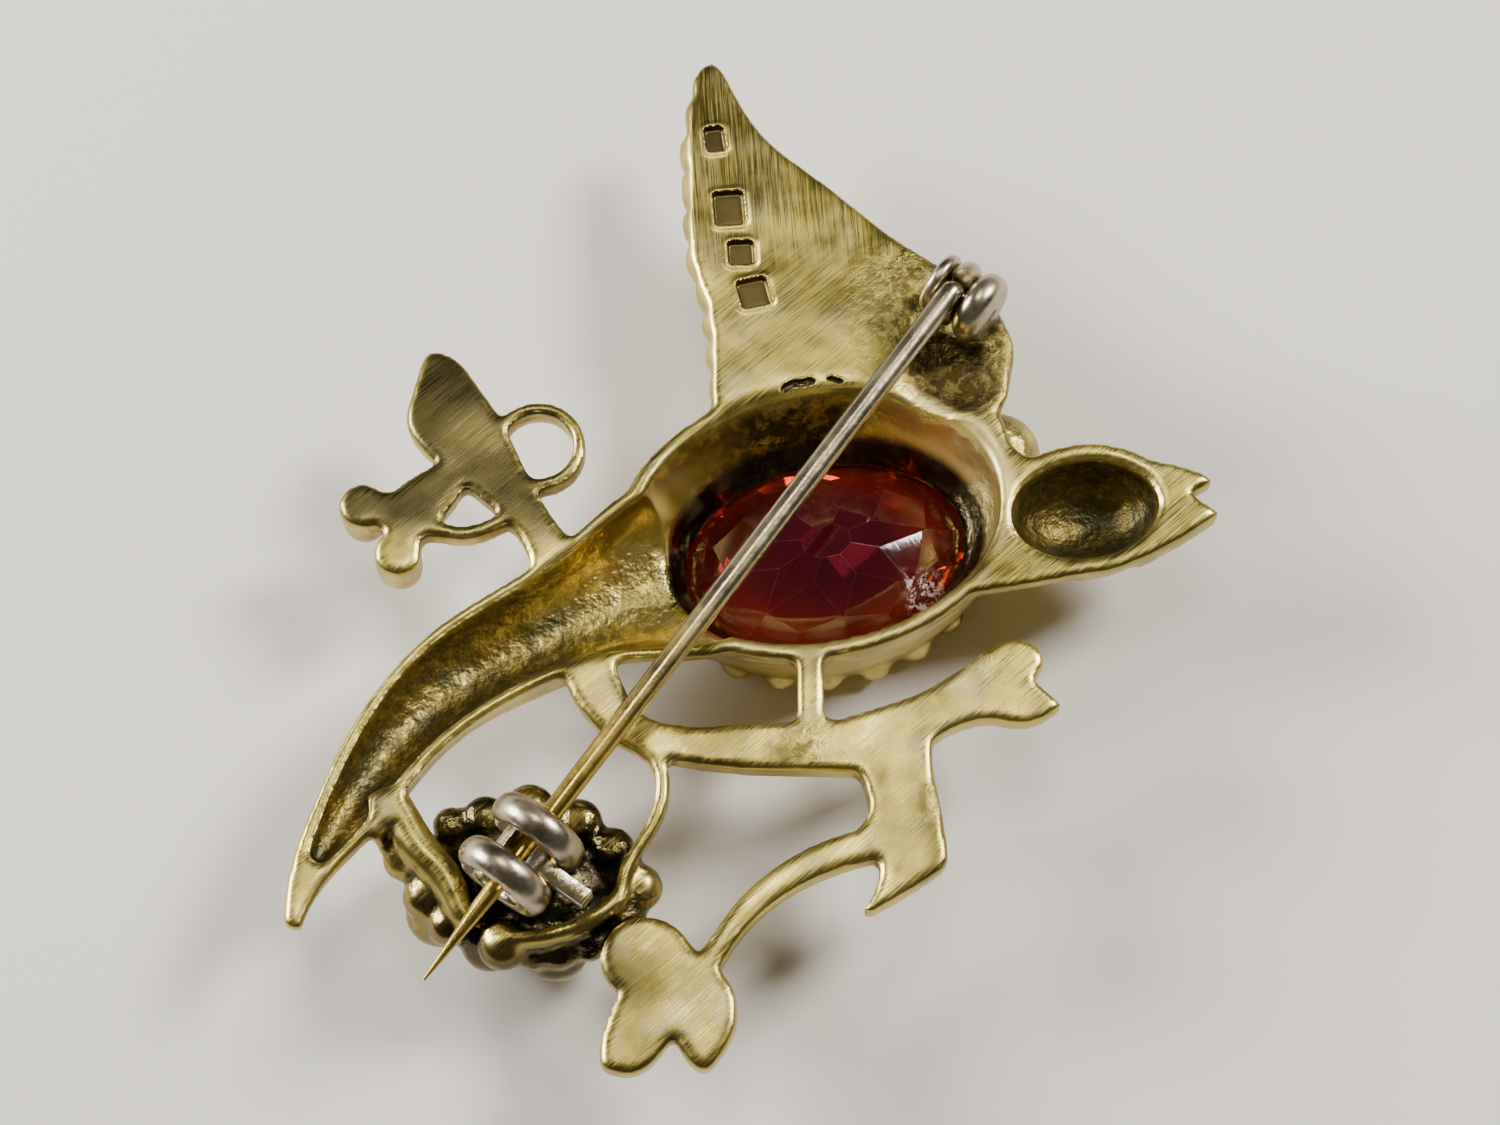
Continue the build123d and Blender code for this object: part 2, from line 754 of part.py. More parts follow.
def bezel_scales():
    """A ring of small lapped scales on the front, round the bezel."""
    scales = []
    for index in range(scale_count):
        direction = radians(360 * (index + 0.5) / scale_count)
        along = stone_along + 0.72 * body_length / 2 * cos(direction)
        across = stone_across + 0.69 * body_width / 2 * sin(direction)
        place = spot((0, 0), body_turn, along, across)
        lean = degrees(atan2(across - stone_across, along - stone_along)) + body_turn
        middle = (place[0], place[1], 0.17 * casting_depth)
        scales.append(ellipsoid(middle, scale_size, 0.82 * scale_size, 0.68 * scale_size, lean))
    return scales


# Cluster
cluster_centre = tail_spot(0.622, 0.225)


def cluster_spot(along, across):
    """A point in plan, as shares of the cluster's half length and half width."""
    return spot(cluster_centre, cluster_turn, along * cluster_length / 2, across * cluster_width / 2)


def cluster_outside():
    """A solid heart with blossoms all round it, down to the floor."""
    heart = ellipsoid(
        (cluster_centre[0], cluster_centre[1], 0.45 * casting_depth),
        0.95 * cluster_length / 2,
        0.95 * cluster_width / 2,
        0.43 * casting_depth,
        cluster_turn,
    )
    # Columns: along, across, height, size of the blossoms that show behind
    rows = (
        (-1.10, 0.04, 0.76, 0.75),
        (-0.84, -0.43, 0.74, 0.85),
        (-0.59, -0.78, 0.74, 0.80),
        (-0.73, 0.66, 0.72, 0.70),
        (-0.43, 0.82, 0.76, 0.80),
        (-0.04, 1.00, 0.78, 0.95),
        (0.42, 0.94, 0.76, 0.85),
        (0.76, 0.62, 0.75, 0.80),
        (1.06, 0.08, 0.80, 0.85),
        (0.97, -0.38, 0.76, 0.80),
        (0.68, -0.74, 0.74, 0.75),
        (0.42, -0.90, 0.72, 0.75),
        (0.20, -0.95, 0.72, 0.75),
        (-0.07, -1.01, 0.80, 0.90),
    )
    # Columns: blossoms, first direction, distance from the middle, height, size of the tiers below
    tiers = ((9, 15, 0.88, 0.56, 1.15), (7, 40, 0.66, 0.35, 1.2), (3, 75, 0.30, 0.19, 1.1))
    lumps = []
    for along, across, level, size in rows:
        place = cluster_spot(along, across)
        lumps.append(Pos(place[0], place[1], level * casting_depth) * Sphere(size * blossom_radius))
    for count, start, reach, level, size in tiers:
        for index in range(count):
            direction = radians(start + 360 * index / count)
            place = cluster_spot(reach * cos(direction), reach * sin(direction))
            radius = blossom_radius * size * (1 + 0.10 * sin(2.4 * index + start))
            height = max(level * casting_depth, radius)
            lumps.append(Pos(place[0], place[1], height) * Sphere(radius))
    return [heart] + lumps


def cluster_hollow():
    """The dip in the middle of the cluster's back."""
    centre = (cluster_centre[0], cluster_centre[1], casting_depth)
    return ellipsoid(centre, 0.38 * cluster_length, 0.33 * cluster_width, cluster_dip, cluster_turn)


def cluster_arm():
    """The rounded arm from the tail down to the far blossoms."""
    # Columns: along and across, as shares of the cluster's half sizes, share of the arm's width
    rows = (
        (-1.16, 0.58, 1.0),
        (-0.97, 0.19, 0.95),
        (-0.74, -0.10, 0.9),
        (-0.56, -0.42, 0.8),
        (-0.33, -0.80, 0.55),
    )
    points = [tail_spot(0.75, -0.05)] + [cluster_spot(along, across) for along, across, share in rows]
    widths = [1.3 * arm_width] + [share * arm_width for along, across, share in rows]
    depths = [0.55 * width for width in widths]
    return below_back(channel_loft(points, widths, depths, casting_depth - 0.5 * arm_width))


def cluster_ridge():
    """The thin ridge along the near blossoms, where the tendril ends."""
    rows = ((0.92, 0.02), (0.88, -0.25), (0.70, -0.54), (0.42, -0.80), (0.16, -0.94), (-0.06, -0.99))
    points = [cluster_spot(along, across) for along, across in rows]
    widths = [share * ridge_width for share in (0.8, 1.0, 1.0, 0.95, 0.9, 0.8)]
    depths = [0.8 * width for width in widths]
    return below_back(channel_loft(points, widths, depths, casting_depth - 0.8 * ridge_width))


def cluster_tendril():
    """The thin wire from the branch to the cluster."""
    rows = ((1.10, 1.71), (1.15, 1.37), (1.10, 0.88), (0.99, 0.48), (0.90, 0.02))
    points = [branch_spot(0.16, 0.95)] + [cluster_spot(along, across) for along, across in rows]
    shares = (1.2, 1.0, 1.0, 0.9, 0.8, 0.8)
    return back_plate(ribbon(points, [share * tendril_width for share in shares]), 0.8 * plate)


# Findings: the line of the pin ties hinge and catch together
rivet_place = wing_spot(0.820, 0.310)
catch_place = cluster_spot(0.03, 0.026)
pin_turn = degrees(atan2(catch_place[1] - rivet_place[1], catch_place[0] - rivet_place[0]))
pin_span = hypot(catch_place[0] - rivet_place[0], catch_place[1] - rivet_place[1])
eye_radius = rivet_radius + pivot_gap + pin_radius
rivet_height = casting_depth + hinge_height
pin_start_height = rivet_height + eye_radius
pin_slope = degrees(atan2(casting_depth + catch_height - pin_start_height, pin_span))

hinge_width = left_knuckle + knuckle_gap + right_knuckle
hinge_offset = (right_knuckle - left_knuckle) / 2

hinge_frame = Pos(rivet_place[0], rivet_place[1], rivet_height) * Rot(0, 0, pin_turn)
catch_frame = (
    Pos(catch_place[0], catch_place[1], casting_depth + catch_height)
    * Rot(0, 0, pin_turn)
    * Rot(0, -pin_slope, 0)
)


def round_disc(radius, bore, thick, edge):
    """A fat ring about the Y axis, rounded at its outer edges."""
    half = thick / 2
    profile = Plane.XY * make_face(
        [
            Line((bore, -half), (radius - edge, -half)),
            ThreePointArc((radius - edge, -half), (radius, 0), (radius - edge, half)),
            Line((radius - edge, half), (bore, half)),
            Line((bore, half), (bore, -half)),
        ]
    )
    return revolve(profile, Axis.Y)


def knuckles():
    """A thin and a bead-like knuckle on a foot, bored for the rivet."""
    pieces = []
    bore_radius = rivet_radius + pivot_gap / 2
    foot_height = hinge_height - rivet_radius
    foot_level = -hinge_height + foot_height / 2 - 0.1 * plate
    bore = Rot(90, 0, 0) * Cylinder(bore_radius, 4 * hinge_width)
    for side, thick in ((-1, left_knuckle), (1, right_knuckle)):
        offset = side * (knuckle_gap + thick) / 2
        disc = round_disc(knuckle_radius, bore_radius, thick, 0.5 * thick)
        pieces.append(hinge_frame * Pos(0, offset, 0) * disc)
        cheek = Pos(0, offset, foot_level) * Box(1.2 * knuckle_radius, 0.9 * thick, foot_height)
        pieces.append(hinge_frame * (cheek - bore))
    base = Box(1.3 * knuckle_radius, 0.85 * hinge_width, 0.6 * plate)
    pieces.append(hinge_frame * Pos(0, hinge_offset, -hinge_height - 0.05 * plate) * base)
    return pieces


def hinge_rivet():
    """The rivet, flush with the outer faces of the knuckles."""
    return hinge_frame * Pos(0, hinge_offset, 0) * (Rot(90, 0, 0) * Cylinder(rivet_radius, hinge_width))


def pin_wire():
    """The wire: an eye round the rivet, a straight shank that thins and a sharp point."""
    eye_ring = Rot(90, 0, 0) * Torus(eye_radius, pin_radius)
    shank_length = hypot(pin_span, casting_depth + catch_height - pin_start_height) + pin_overhang
    body = shank_length - point_length
    shank = Rot(0, 90, 0) * Pos(0, 0, body / 2) * Cone(pin_radius, pin_radius * pin_thin, body)
    point = Rot(0, 90, 0) * Pos(0, 0, body + point_length / 2) * Cone(
        pin_radius * pin_thin, pin_tip_radius, point_length
    )
    line = Pos(0, 0, eye_radius) * Rot(0, -pin_slope, 0) * (shank + point)
    return hinge_frame * (eye_ring + line)


def catch_rings():
    """Two fat rings round the pin, joined below, with a mouth on the far side."""
    offset = (ring_slot + ring_thick) / 2
    bore = rotor_radius + turn_gap
    rings = []
    for side in (-1, 1):
        disc = Rot(0, 0, 90) * round_disc(ring_radius, bore, ring_thick, 0.5 * ring_thick)
        rings.append(Pos(side * offset, 0, 0) * disc)
    foot_top = -bore - 2 * turn_gap
    foot_low = -catch_height - 2 * plate
    foot = Pos(0, 0, (foot_top + foot_low) / 2) * Box(
        ring_slot + 1.6 * ring_thick, 1.3 * ring_radius, foot_top - foot_low
    )
    return [catch_frame * piece for piece in rings + [foot]]


def catch_mouth():
    """The gap in the rings through which the pin goes in."""
    return catch_frame * Pos(0, -ring_radius, 0) * Box(4 * ring_thick, 2 * ring_radius, mouth)


def catch_rotor():
    """The C-shaped sleeve round the pin, gap up, and its thumb tab."""
    length = ring_slot + 2 * ring_thick
    sleeve = Rot(0, 90, 0) * (Cylinder(rotor_radius, length) - Cylinder(rotor_bore, 2 * length))
    gap = Pos(0, 0, rotor_radius) * Box(2 * length, rotor_gap, 2 * rotor_radius)
    tab_length = tab_reach - 0.5 * (rotor_radius + rotor_bore)
    tab = Pos(0, tab_reach - tab_length / 2, 0) * Box(ring_slot - 2 * turn_gap, tab_length, tab_width)
    return catch_frame * (sleeve - gap + tab)


def bird_casting():
    """All the soldered metal."""
    shells = [body_outside(), neck(), tail_outside()] + head_outside() + wing()
    added = [cluster_outside(), twig(), branch(), [eye()], bezel_scales(), leaf_relief(), wing_feathers()]
    hollows = body_hollow() + [head_hollow(), tail_hollow(), scoop_shape(0), cluster_hollow()]
    casting = Part() + shells
    for group in added + [tail_ribs()]:
        casting = casting + group
    for hollow in hollows:
        casting = casting - hollow
    for group in ([cluster_arm(), cluster_ridge(), cluster_tendril()], knuckles(), catch_rings()):
        casting = casting + group
    return casting - catch_mouth()


shapes = {
    "bird_casting": bird_casting(),
    "oval_stone": oval_stone(),
    "hinge_rivet": hinge_rivet(),
    "pin_wire": pin_wire(),
    "catch_rotor": catch_rotor(),
}
boxes = [shape.bounding_box() for shape in shapes.values()]
middle_x = (min(box.min.X for box in boxes) + max(box.max.X for box in boxes)) / 2
middle_y = (min(box.min.Y for box in boxes) + max(box.max.Y for box in boxes)) / 2
floor = min(box.min.Z for box in boxes)
for name, shape in shapes.items():
    export_step(Pos(-middle_x, -middle_y, -floor) * shape, f"parts/{name}.step")
    print(name, "solids", len(shape.solids()), "volume", round(shape.volume, 1))
print("shift", round(-middle_x, 3), round(-middle_y, 3), round(-floor, 3))
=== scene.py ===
# %% [markdown]
# # A bird brooch, seen from its back
#
# The real object is a cast silver-gilt brooch, 46 mm long, lying face down. The
# CAD model already has its measured solids, so Blender's work here is the finish:
# soft cast edges, worn gilding, tarnish in the hollows, polished findings and a
# red paste stone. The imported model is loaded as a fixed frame, and what is made here
# takes the place of its pieces without moving any of them.

# %% Load the frame
import json
import math
import bpy
import numpy as np
from mathutils import Matrix, Vector
from mathutils.bvhtree import BVHTree


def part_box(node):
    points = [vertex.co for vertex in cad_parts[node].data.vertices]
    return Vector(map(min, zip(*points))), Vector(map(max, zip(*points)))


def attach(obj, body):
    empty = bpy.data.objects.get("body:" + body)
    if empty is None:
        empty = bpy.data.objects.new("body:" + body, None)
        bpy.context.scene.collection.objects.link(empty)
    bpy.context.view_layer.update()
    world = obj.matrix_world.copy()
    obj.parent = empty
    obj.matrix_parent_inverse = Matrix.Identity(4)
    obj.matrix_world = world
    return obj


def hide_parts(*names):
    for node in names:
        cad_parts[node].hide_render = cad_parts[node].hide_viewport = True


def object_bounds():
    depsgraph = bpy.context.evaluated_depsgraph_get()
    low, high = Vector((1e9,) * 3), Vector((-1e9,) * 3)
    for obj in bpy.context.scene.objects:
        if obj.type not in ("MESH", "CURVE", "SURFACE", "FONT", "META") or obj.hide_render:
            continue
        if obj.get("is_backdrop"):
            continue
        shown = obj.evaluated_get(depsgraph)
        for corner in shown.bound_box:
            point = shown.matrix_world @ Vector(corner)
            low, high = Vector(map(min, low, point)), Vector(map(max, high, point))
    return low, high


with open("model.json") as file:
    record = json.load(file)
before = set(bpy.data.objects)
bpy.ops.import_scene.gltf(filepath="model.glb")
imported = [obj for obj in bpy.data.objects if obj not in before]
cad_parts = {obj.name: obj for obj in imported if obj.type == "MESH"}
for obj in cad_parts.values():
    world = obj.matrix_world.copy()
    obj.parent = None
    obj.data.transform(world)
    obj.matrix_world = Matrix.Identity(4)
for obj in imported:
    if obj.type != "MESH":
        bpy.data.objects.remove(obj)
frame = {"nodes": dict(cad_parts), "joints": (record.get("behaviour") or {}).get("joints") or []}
cad_box = [list(corner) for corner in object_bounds()]
MM = 0.001
catch_joint = frame["joints"][0]
catch_middle = Vector(catch_joint["pos_m"])
pin_line = Vector(catch_joint["axis"]).normalized()
across = pin_line.cross(Vector((0, 0, 1))).normalized()
back_height = 6.6 * MM

# The rivet goes through a thin knuckle left of the pin and a fat one right of it
rivet_low, rivet_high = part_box("hinge_rivet")
rivet_middle = (rivet_low + rivet_high) / 2
left_knuckle, right_knuckle, knuckle_gap = 0.6 * MM, 1.25 * MM, 1.1 * MM
hinge_middle = rivet_middle + across * (right_knuckle - left_knuckle) / 2
print("nodes", sorted(frame["nodes"]), "hinge", [round(v / MM, 2) for v in hinge_middle])

# %% [markdown]
# ## The camera
#
# The photograph looks down on the brooch, 22 degrees off the vertical, from about
# 14 cm. A long lens at that place gives the same small perspective, which matters
# because the pin and its catch stand well above the flat back.

# %% Camera
bpy.ops.object.select_all(action="DESELECT")
bpy.ops.object.camera_add(
    location=(-0.529 * MM, -53.625 * MM, 136.4 * MM),
    rotation=(math.radians(22), 0, 0),
)
camera = bpy.context.object
camera.name = "camera"
camera.data.lens = 80.64
camera.data.sensor_width = 36
camera.data.clip_start = 0.01
bpy.context.scene.camera = camera

# %% [markdown]
# ## Floor
#
# The brooch lies on its front on plain pale paper. One large plane does that. It is
# rough, so it takes soft shadows and shows no reflections, and it lies a fiftieth of
# a millimetre below the brooch, so that the two never share a plane.

# %% Floor
floor_gap = 0.02 * MM
bpy.ops.mesh.primitive_plane_add(size=1.6, location=(0, 0, -floor_gap))
floor = bpy.context.object
floor.name = "pale_floor"
paper = bpy.data.materials.new("pale_paper")
paper.use_nodes = True
paper_shader = paper.node_tree.nodes["Principled BSDF"]
paper_shader.inputs["Base Color"].default_value = (0.66, 0.63, 0.58, 1)
paper_shader.inputs["Roughness"].default_value = 0.85
floor.data.materials.append(paper)
floor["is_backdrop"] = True

# %% [markdown]
# ## Light
#
# Polished metal has no look of its own: it shows what is round it. A white room
# would make it flat and chalky, so the room is a dim warm grey, and three soft
# panels are put where the brooch can see them: a key at the upper right, a fill at
# the left, and a small one overhead that lays a sheen on the flats.

# %% Light
world = bpy.data.worlds.new("studio")
bpy.context.scene.world = world
world.use_nodes = True
room = world.node_tree.nodes["Background"]
room.inputs["Color"].default_value = (0.30, 0.28, 0.25, 1)
room.inputs["Strength"].default_value = 0.24


def soft_panel(name, place, size, power, colour=(1, 1, 1)):
    """A square lamp that faces the brooch."""
    direction = Vector((0, 0, 0.004)) - Vector(place)
    bpy.ops.object.light_add(
        type="AREA", location=place, rotation=direction.to_track_quat("-Z", "Y").to_euler()
    )
    lamp = bpy.context.object
    lamp.name = name
    lamp.data.size = size
    lamp.data.energy = power
    lamp.data.color = colour
    return lamp


soft_panel("key_panel", (0.20, 0.09, 0.24), 0.09, 1.5, (1.0, 0.97, 0.92))
soft_panel("side_panel", (-0.27, 0.08, 0.15), 0.12, 2.1, (1.0, 0.99, 0.97))
soft_panel("sheen_panel", (-0.011, 0.055, 0.24), 0.056, 0.140, (1.0, 0.95, 0.83))

# %% [markdown]
# ## Helpers for shaping
#
# Blender's operators act on whatever is selected, so each step first selects one
# piece alone. A finished piece keeps its place in its mesh and its object at the
# origin, as the CAD nodes do, so that patterns on it stay put.


# %% Shaping helpers
def only(piece):
    """Select one piece alone and make it active."""
    bpy.ops.object.select_all(action="DESELECT")
    piece.select_set(True)
    bpy.context.view_layer.objects.active = piece
    return piece


def apply_all(piece):
    """Apply the piece's modifiers and its place."""
    only(piece)
    for modifier in list(piece.modifiers):
        bpy.ops.object.modifier_apply(modifier=modifier.name)
    bpy.ops.object.transform_apply(location=True, rotation=True, scale=True)
    return piece


def cad_copy(node, name):
    """A merged copy of a CAD node's mesh, to be shaped further."""
    mesh = frame["nodes"][node].data.copy()
    mesh.materials.clear()
    piece = bpy.data.objects.new(name, mesh)
    bpy.context.scene.collection.objects.link(piece)
    only(piece)
    bpy.ops.object.mode_set(mode="EDIT")
    bpy.ops.mesh.select_all(action="SELECT")
    bpy.ops.mesh.remove_doubles(threshold=0.0005 * MM)
    bpy.ops.object.mode_set(mode="OBJECT")
    return piece


def turned(axis, side):
    """The Euler turn that puts Z on an axis and Y near a side direction."""
    z = Vector(axis).normalized()
    x = Vector(side).cross(z).normalized()
    y = z.cross(x)
    return Matrix((x, y, z)).transposed().to_euler()


def read_points(piece):
    """The places and normals of a mesh's points, as arrays."""
    places = np.zeros(len(piece.data.vertices) * 3)
    normals = np.zeros(len(piece.data.vertices) * 3)
    piece.data.vertices.foreach_get("co", places)
    piece.data.vertices.foreach_get("normal", normals)
    return places.reshape(-1, 3), normals.reshape(-1, 3)


def write_points(piece, places):
    """Put a mesh's points in new places."""
    piece.data.vertices.foreach_set("co", places.ravel())
    piece.data.update()


def ramp(values, start, length):
    """A share that is 0 at start and 1 a length further on, which may be backwards."""
    return np.clip((values - start) / length, 0, 1)


def soft_spot(places, x, y, radius):
    """A round spot with a soft edge, seen from above, all in mm: 1 at its middle."""
    away = np.hypot(places[:, 0] / MM - x, places[:, 1] / MM - y) / radius
    return np.exp(-(away**2))


# %% [markdown]
# ## The casting
#
# The bird, its tail, wing, twig, branch and flower cluster are one piece of cast
# and soldered silver. The hinge's knuckles and the catch are polished findings with
# a finish of their own, so two blocks in line with the pin cut them off first. The
# low solder feet under the knuckles stay.

# %% Findings cut off
casting = cad_copy("bird_casting", "bird_in_gilt_silver")


def cut_block(name, middle, size):
    """A block in line with the pin, for cutting a finding off the casting."""
    bpy.ops.object.select_all(action="DESELECT")
    bpy.ops.mesh.primitive_cube_add(
        size=1, location=middle, rotation=turned((0, 0, 1), -across), scale=size
    )
    block = bpy.context.object
    block.name = name
    cut = casting.modifiers.new(name, "BOOLEAN")
    cut.operation = "DIFFERENCE"
    cut.solver = "EXACT"
    cut.object = block
    return block


cut_top = 12 * MM
hinge_cut_low = back_height + 0.75 * MM
catch_cut_low = back_height + 0.02 * MM
blocks = [
    cut_block(
        "hinge_cut",
        (rivet_middle.x, rivet_middle.y, (cut_top + hinge_cut_low) / 2),
        (5.0 * MM, 4.4 * MM, cut_top - hinge_cut_low),
    ),
    cut_block(
        "catch_cut",
        (catch_middle.x, catch_middle.y, (cut_top + catch_cut_low) / 2),
        (5.2 * MM, 5.2 * MM, cut_top - catch_cut_low),
    ),
]
only(casting)
for modifier in list(casting.modifiers):
    bpy.ops.object.modifier_apply(modifier=modifier.name)
for block in blocks:
    bpy.data.objects.remove(block)
print("cut casting", len(casting.data.polygons), "faces")

# %% [markdown]
# The CAD solid has knife-sharp edges, and real castings have none. Bevels would
# stumble over its hundreds of small faces, so the copy is remeshed in fine voxels
# and smoothed a little, which rounds every rim by about the size of one voxel.

# %% Cast skin
voxel = 0.185 * MM
remesh = casting.modifiers.new("cast_skin", "REMESH")
remesh.mode = "VOXEL"
remesh.voxel_size = voxel
soften = casting.modifiers.new("polish", "SMOOTH")
soften.factor = 0.5
soften.iterations = 5
apply_all(casting)
print("casting", len(casting.data.vertices), "points", len(casting.data.polygons), "faces")

# %% [markdown]
# On the real back the wing rolls softly over into the bowl and into the scoop by
# the hinge, where the rest of the rims stay crisp. The points near those two rims
# get a weight, and a second, stronger smoothing works on them alone. The scoop's
# floor is raised towards its left side first, because it is a hollow that runs out
# under the pin and not a round pan.

# %% Rolled rims
stone_low, stone_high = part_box("oval_stone")
stone_middle = (stone_low + stone_high) / 2
bowl_turn = math.radians(13)
bowl_middle = stone_middle + Vector((-0.44, 0.38, 0)) * MM
bowl_half_long, bowl_half_wide = 7.8 * MM, 5.65 * MM
scoop_middle = hinge_middle + Vector((-0.888, -2.790, 0)) * MM
scoop_half_long, scoop_half_wide = 2.9 * MM, 1.85 * MM


def oval_distance(x, y, middle, turn, half_long, half_wide):
    """How far a point lies from an oval's middle, 1 being on the oval."""
    dx, dy = x - middle.x, y - middle.y
    along = dx * np.cos(turn) + dy * np.sin(turn)
    side = dy * np.cos(turn) - dx * np.sin(turn)
    return np.hypot(along / half_long, side / half_wide)


rolled = casting.vertex_groups.new(name="rolled_rims")
rims_above = 4.6 * MM
bowl_rim_reach, scoop_rim_reach = 0.20, 0.5
for point in casting.data.vertices:
    x, y, z = point.co
    if z < rims_above:
        continue
    bowl_share = oval_distance(x, y, bowl_middle, bowl_turn, bowl_half_long, bowl_half_wide)
    scoop_share = oval_distance(x, y, scoop_middle, -bowl_turn, scoop_half_long, scoop_half_wide)
    if scoop_share < 1.0 and point.normal.z > 0:
        left_share = min(max((scoop_middle.x + 1.0 * MM - x) / (2.6 * MM), 0), 1)
        point.co.z += (back_height - z) * (0.15 + 0.7 * left_share)
    wing_side = min(max((y - bowl_middle.y) / MM / 3.0 - 0.6, 0), 1)
    weight = max(
        wing_side * max(1 - abs(bowl_share - 1) / bowl_rim_reach, 0),
        max(1 - abs(scoop_share - 1) / scoop_rim_reach, 0),
    )
    if weight > 0:
        rolled.add([point.index], min(1.6 * weight, 1), "REPLACE")
roll = casting.modifiers.new("roll", "SMOOTH")
roll.factor = 0.8
roll.iterations = 26
roll.vertex_group = "rolled_rims"
apply_all(casting)
casting.vertex_groups.clear()

# %% [markdown]
# No filed flat is truly flat: its reflections wander. A few low swells and dips, a
# tenth to a fifth of a millimetre high or deep and some millimetres wide, tilt the
# flats by two to four degrees, enough to make one lobe of a leaf bright and the next
# one dark.

# %% Low swells
swells = (
    # x, y, radius, height
    (-7.0, -20.0, 2.6, -0.20),
    (0.8, -7.2, 2.4, 0.12),
    (4.6, -6.6, 2.4, 0.12),
    (3.4, -11.6, 2.4, 0.13),
    (9.6, -4.2, 2.2, 0.10),
    (-12.4, 6.4, 2.4, 0.12),
    (1.4, 12.6, 3.0, -0.10),
)
swell_above = 5.2 * MM
points, point_normals = read_points(casting)
faces_up = ramp(point_normals[:, 2], 0, 0.5) * (points[:, 2] > swell_above)
for x, y, radius, height in swells:
    points[:, 2] += height * MM * faces_up * soft_spot(points, x, y, radius)
write_points(casting, points)
print("low swells and dips", len(swells))

# %% [markdown]
# ## Blank punch marks
#
# The wing's back has four small punched recesses in a row. They are left blank.
# Two narrow casting pits lie where the wing rolls into the bowl. All are too fine
# for the voxels, so first the faces under them are divided in four each way.

# %% Finer faces under the marks
punches = (
    # x, y, half width, half height, turn
    (-2.07, 18.87, 0.42, 0.62, 8),
    (-1.45, 15.46, 0.66, 0.82, 5),
    (-0.92, 13.31, 0.56, 0.58, 4),
    (-0.36, 11.39, 0.66, 0.68, 14),
)
pits = (
    (1.50, 7.12, 0.78, 0.17, 14),
    (3.10, 7.28, 0.40, 0.12, -6),
)
mark_margin = 0.4
wing_back_above = 5.7 * MM


def local_to_punch(x, y, punch):
    """Where a point lies in a punch's own square, in mm."""
    turn = math.radians(punch[4])
    dx, dy = x - punch[0], y - punch[1]
    return dx * np.cos(turn) + dy * np.sin(turn), dy * np.cos(turn) - dx * np.sin(turn)


def flat_back_near_punch(centre, normal):
    """True for a face of the wing's back that a punch touches."""
    if normal.z < 0.6 or centre.z < wing_back_above:
        return False
    for punch in punches + pits:
        u, v = local_to_punch(centre.x / MM, centre.y / MM, punch)
        if abs(u) < punch[2] + mark_margin and abs(v) < punch[3] + mark_margin:
            return True
    return False


only(casting)
bpy.ops.object.mode_set(mode="EDIT")
bpy.ops.mesh.select_mode(type="FACE")
bpy.ops.mesh.select_all(action="DESELECT")
bpy.ops.object.mode_set(mode="OBJECT")
for face in casting.data.polygons:
    face.select = flat_back_near_punch(face.center, face.normal)
bpy.ops.object.mode_set(mode="EDIT")
bpy.ops.mesh.subdivide(number_cuts=3)
bpy.ops.object.mode_set(mode="OBJECT")

# %% [markdown]
# A punch sinks in with a flat floor, soft sides and a low lip of pushed-up metal.
# A distance from the mark's outline, counted inwards, gives all three. The pits
# have no lip, and their outline wanders. Three shares are kept for the colours:
# punched for the floors, halo for the rubbed metal round them, pitted for the pits.

# %% Punch marks pressed in
punch_depth = 0.25
punch_edge = 0.10
punch_corner = 0.22
lip_height, lip_width = 0.05, 0.13
points, point_normals = read_points(casting)
on_back = points[:, 2] > wing_back_above
punched, halo, pitted = (np.zeros(len(points)) for _ in range(3))
for punch in punches + pits:
    has_lip = punch in punches
    u, v = local_to_punch(points[:, 0] / MM, points[:, 1] / MM, punch)
    if not has_lip:
        v = v + 0.16 * u * u + 0.03 * np.sin(7 * u)
    out_u = np.abs(u) - punch[2] + punch_corner
    out_v = np.abs(v) - punch[3] + punch_corner
    outside = np.hypot(np.maximum(out_u, 0), np.maximum(out_v, 0))
    inside = punch_corner - outside - np.minimum(np.maximum(out_u, out_v), 0)
    share = np.clip(inside / punch_edge + 0.5, 0, 1)
    share = share * share * (3 - 2 * share)
    lip = has_lip * lip_height * np.exp(-(((inside + punch_edge) / lip_width) ** 2))
    points[:, 2] += np.where(on_back, (lip - share * punch_depth) * MM, 0)
    frame_line = np.exp(-(((inside - 0.06) / 0.13) ** 2))
    floor_share = has_lip * share * (0.86 + 0.14 * frame_line)
    punched = np.maximum(punched, np.where(on_back, floor_share, 0))
    rubbed_round = has_lip * np.exp(-(((inside + 0.14) / 0.12) ** 2))
    halo = np.maximum(halo, np.where(on_back, rubbed_round, 0))
    pitted = np.maximum(pitted, np.where(on_back, (1 - has_lip) * share, 0))
write_points(casting, points)
print("with punch marks", len(casting.data.polygons), "faces")

# %% [markdown]
# ## Wear, dirt and painted light, stored on the mesh
#
# Hands polish the edges of a brooch and leave the hollows dark. Both can be read
# from the shape: how far a point stands out from its neighbours gives the edges,
# and how much of the sky it can see gives the hollows. Both are stored as point
# attributes, so the material can use them and they move with the mesh.


# %% Helpers that read the shape
def point_pairs(piece):
    """The two ends of each edge of a mesh."""
    pairs = np.zeros(len(piece.data.edges) * 2, dtype=int)
    piece.data.edges.foreach_get("vertices", pairs)
    return pairs.reshape(-1, 2)


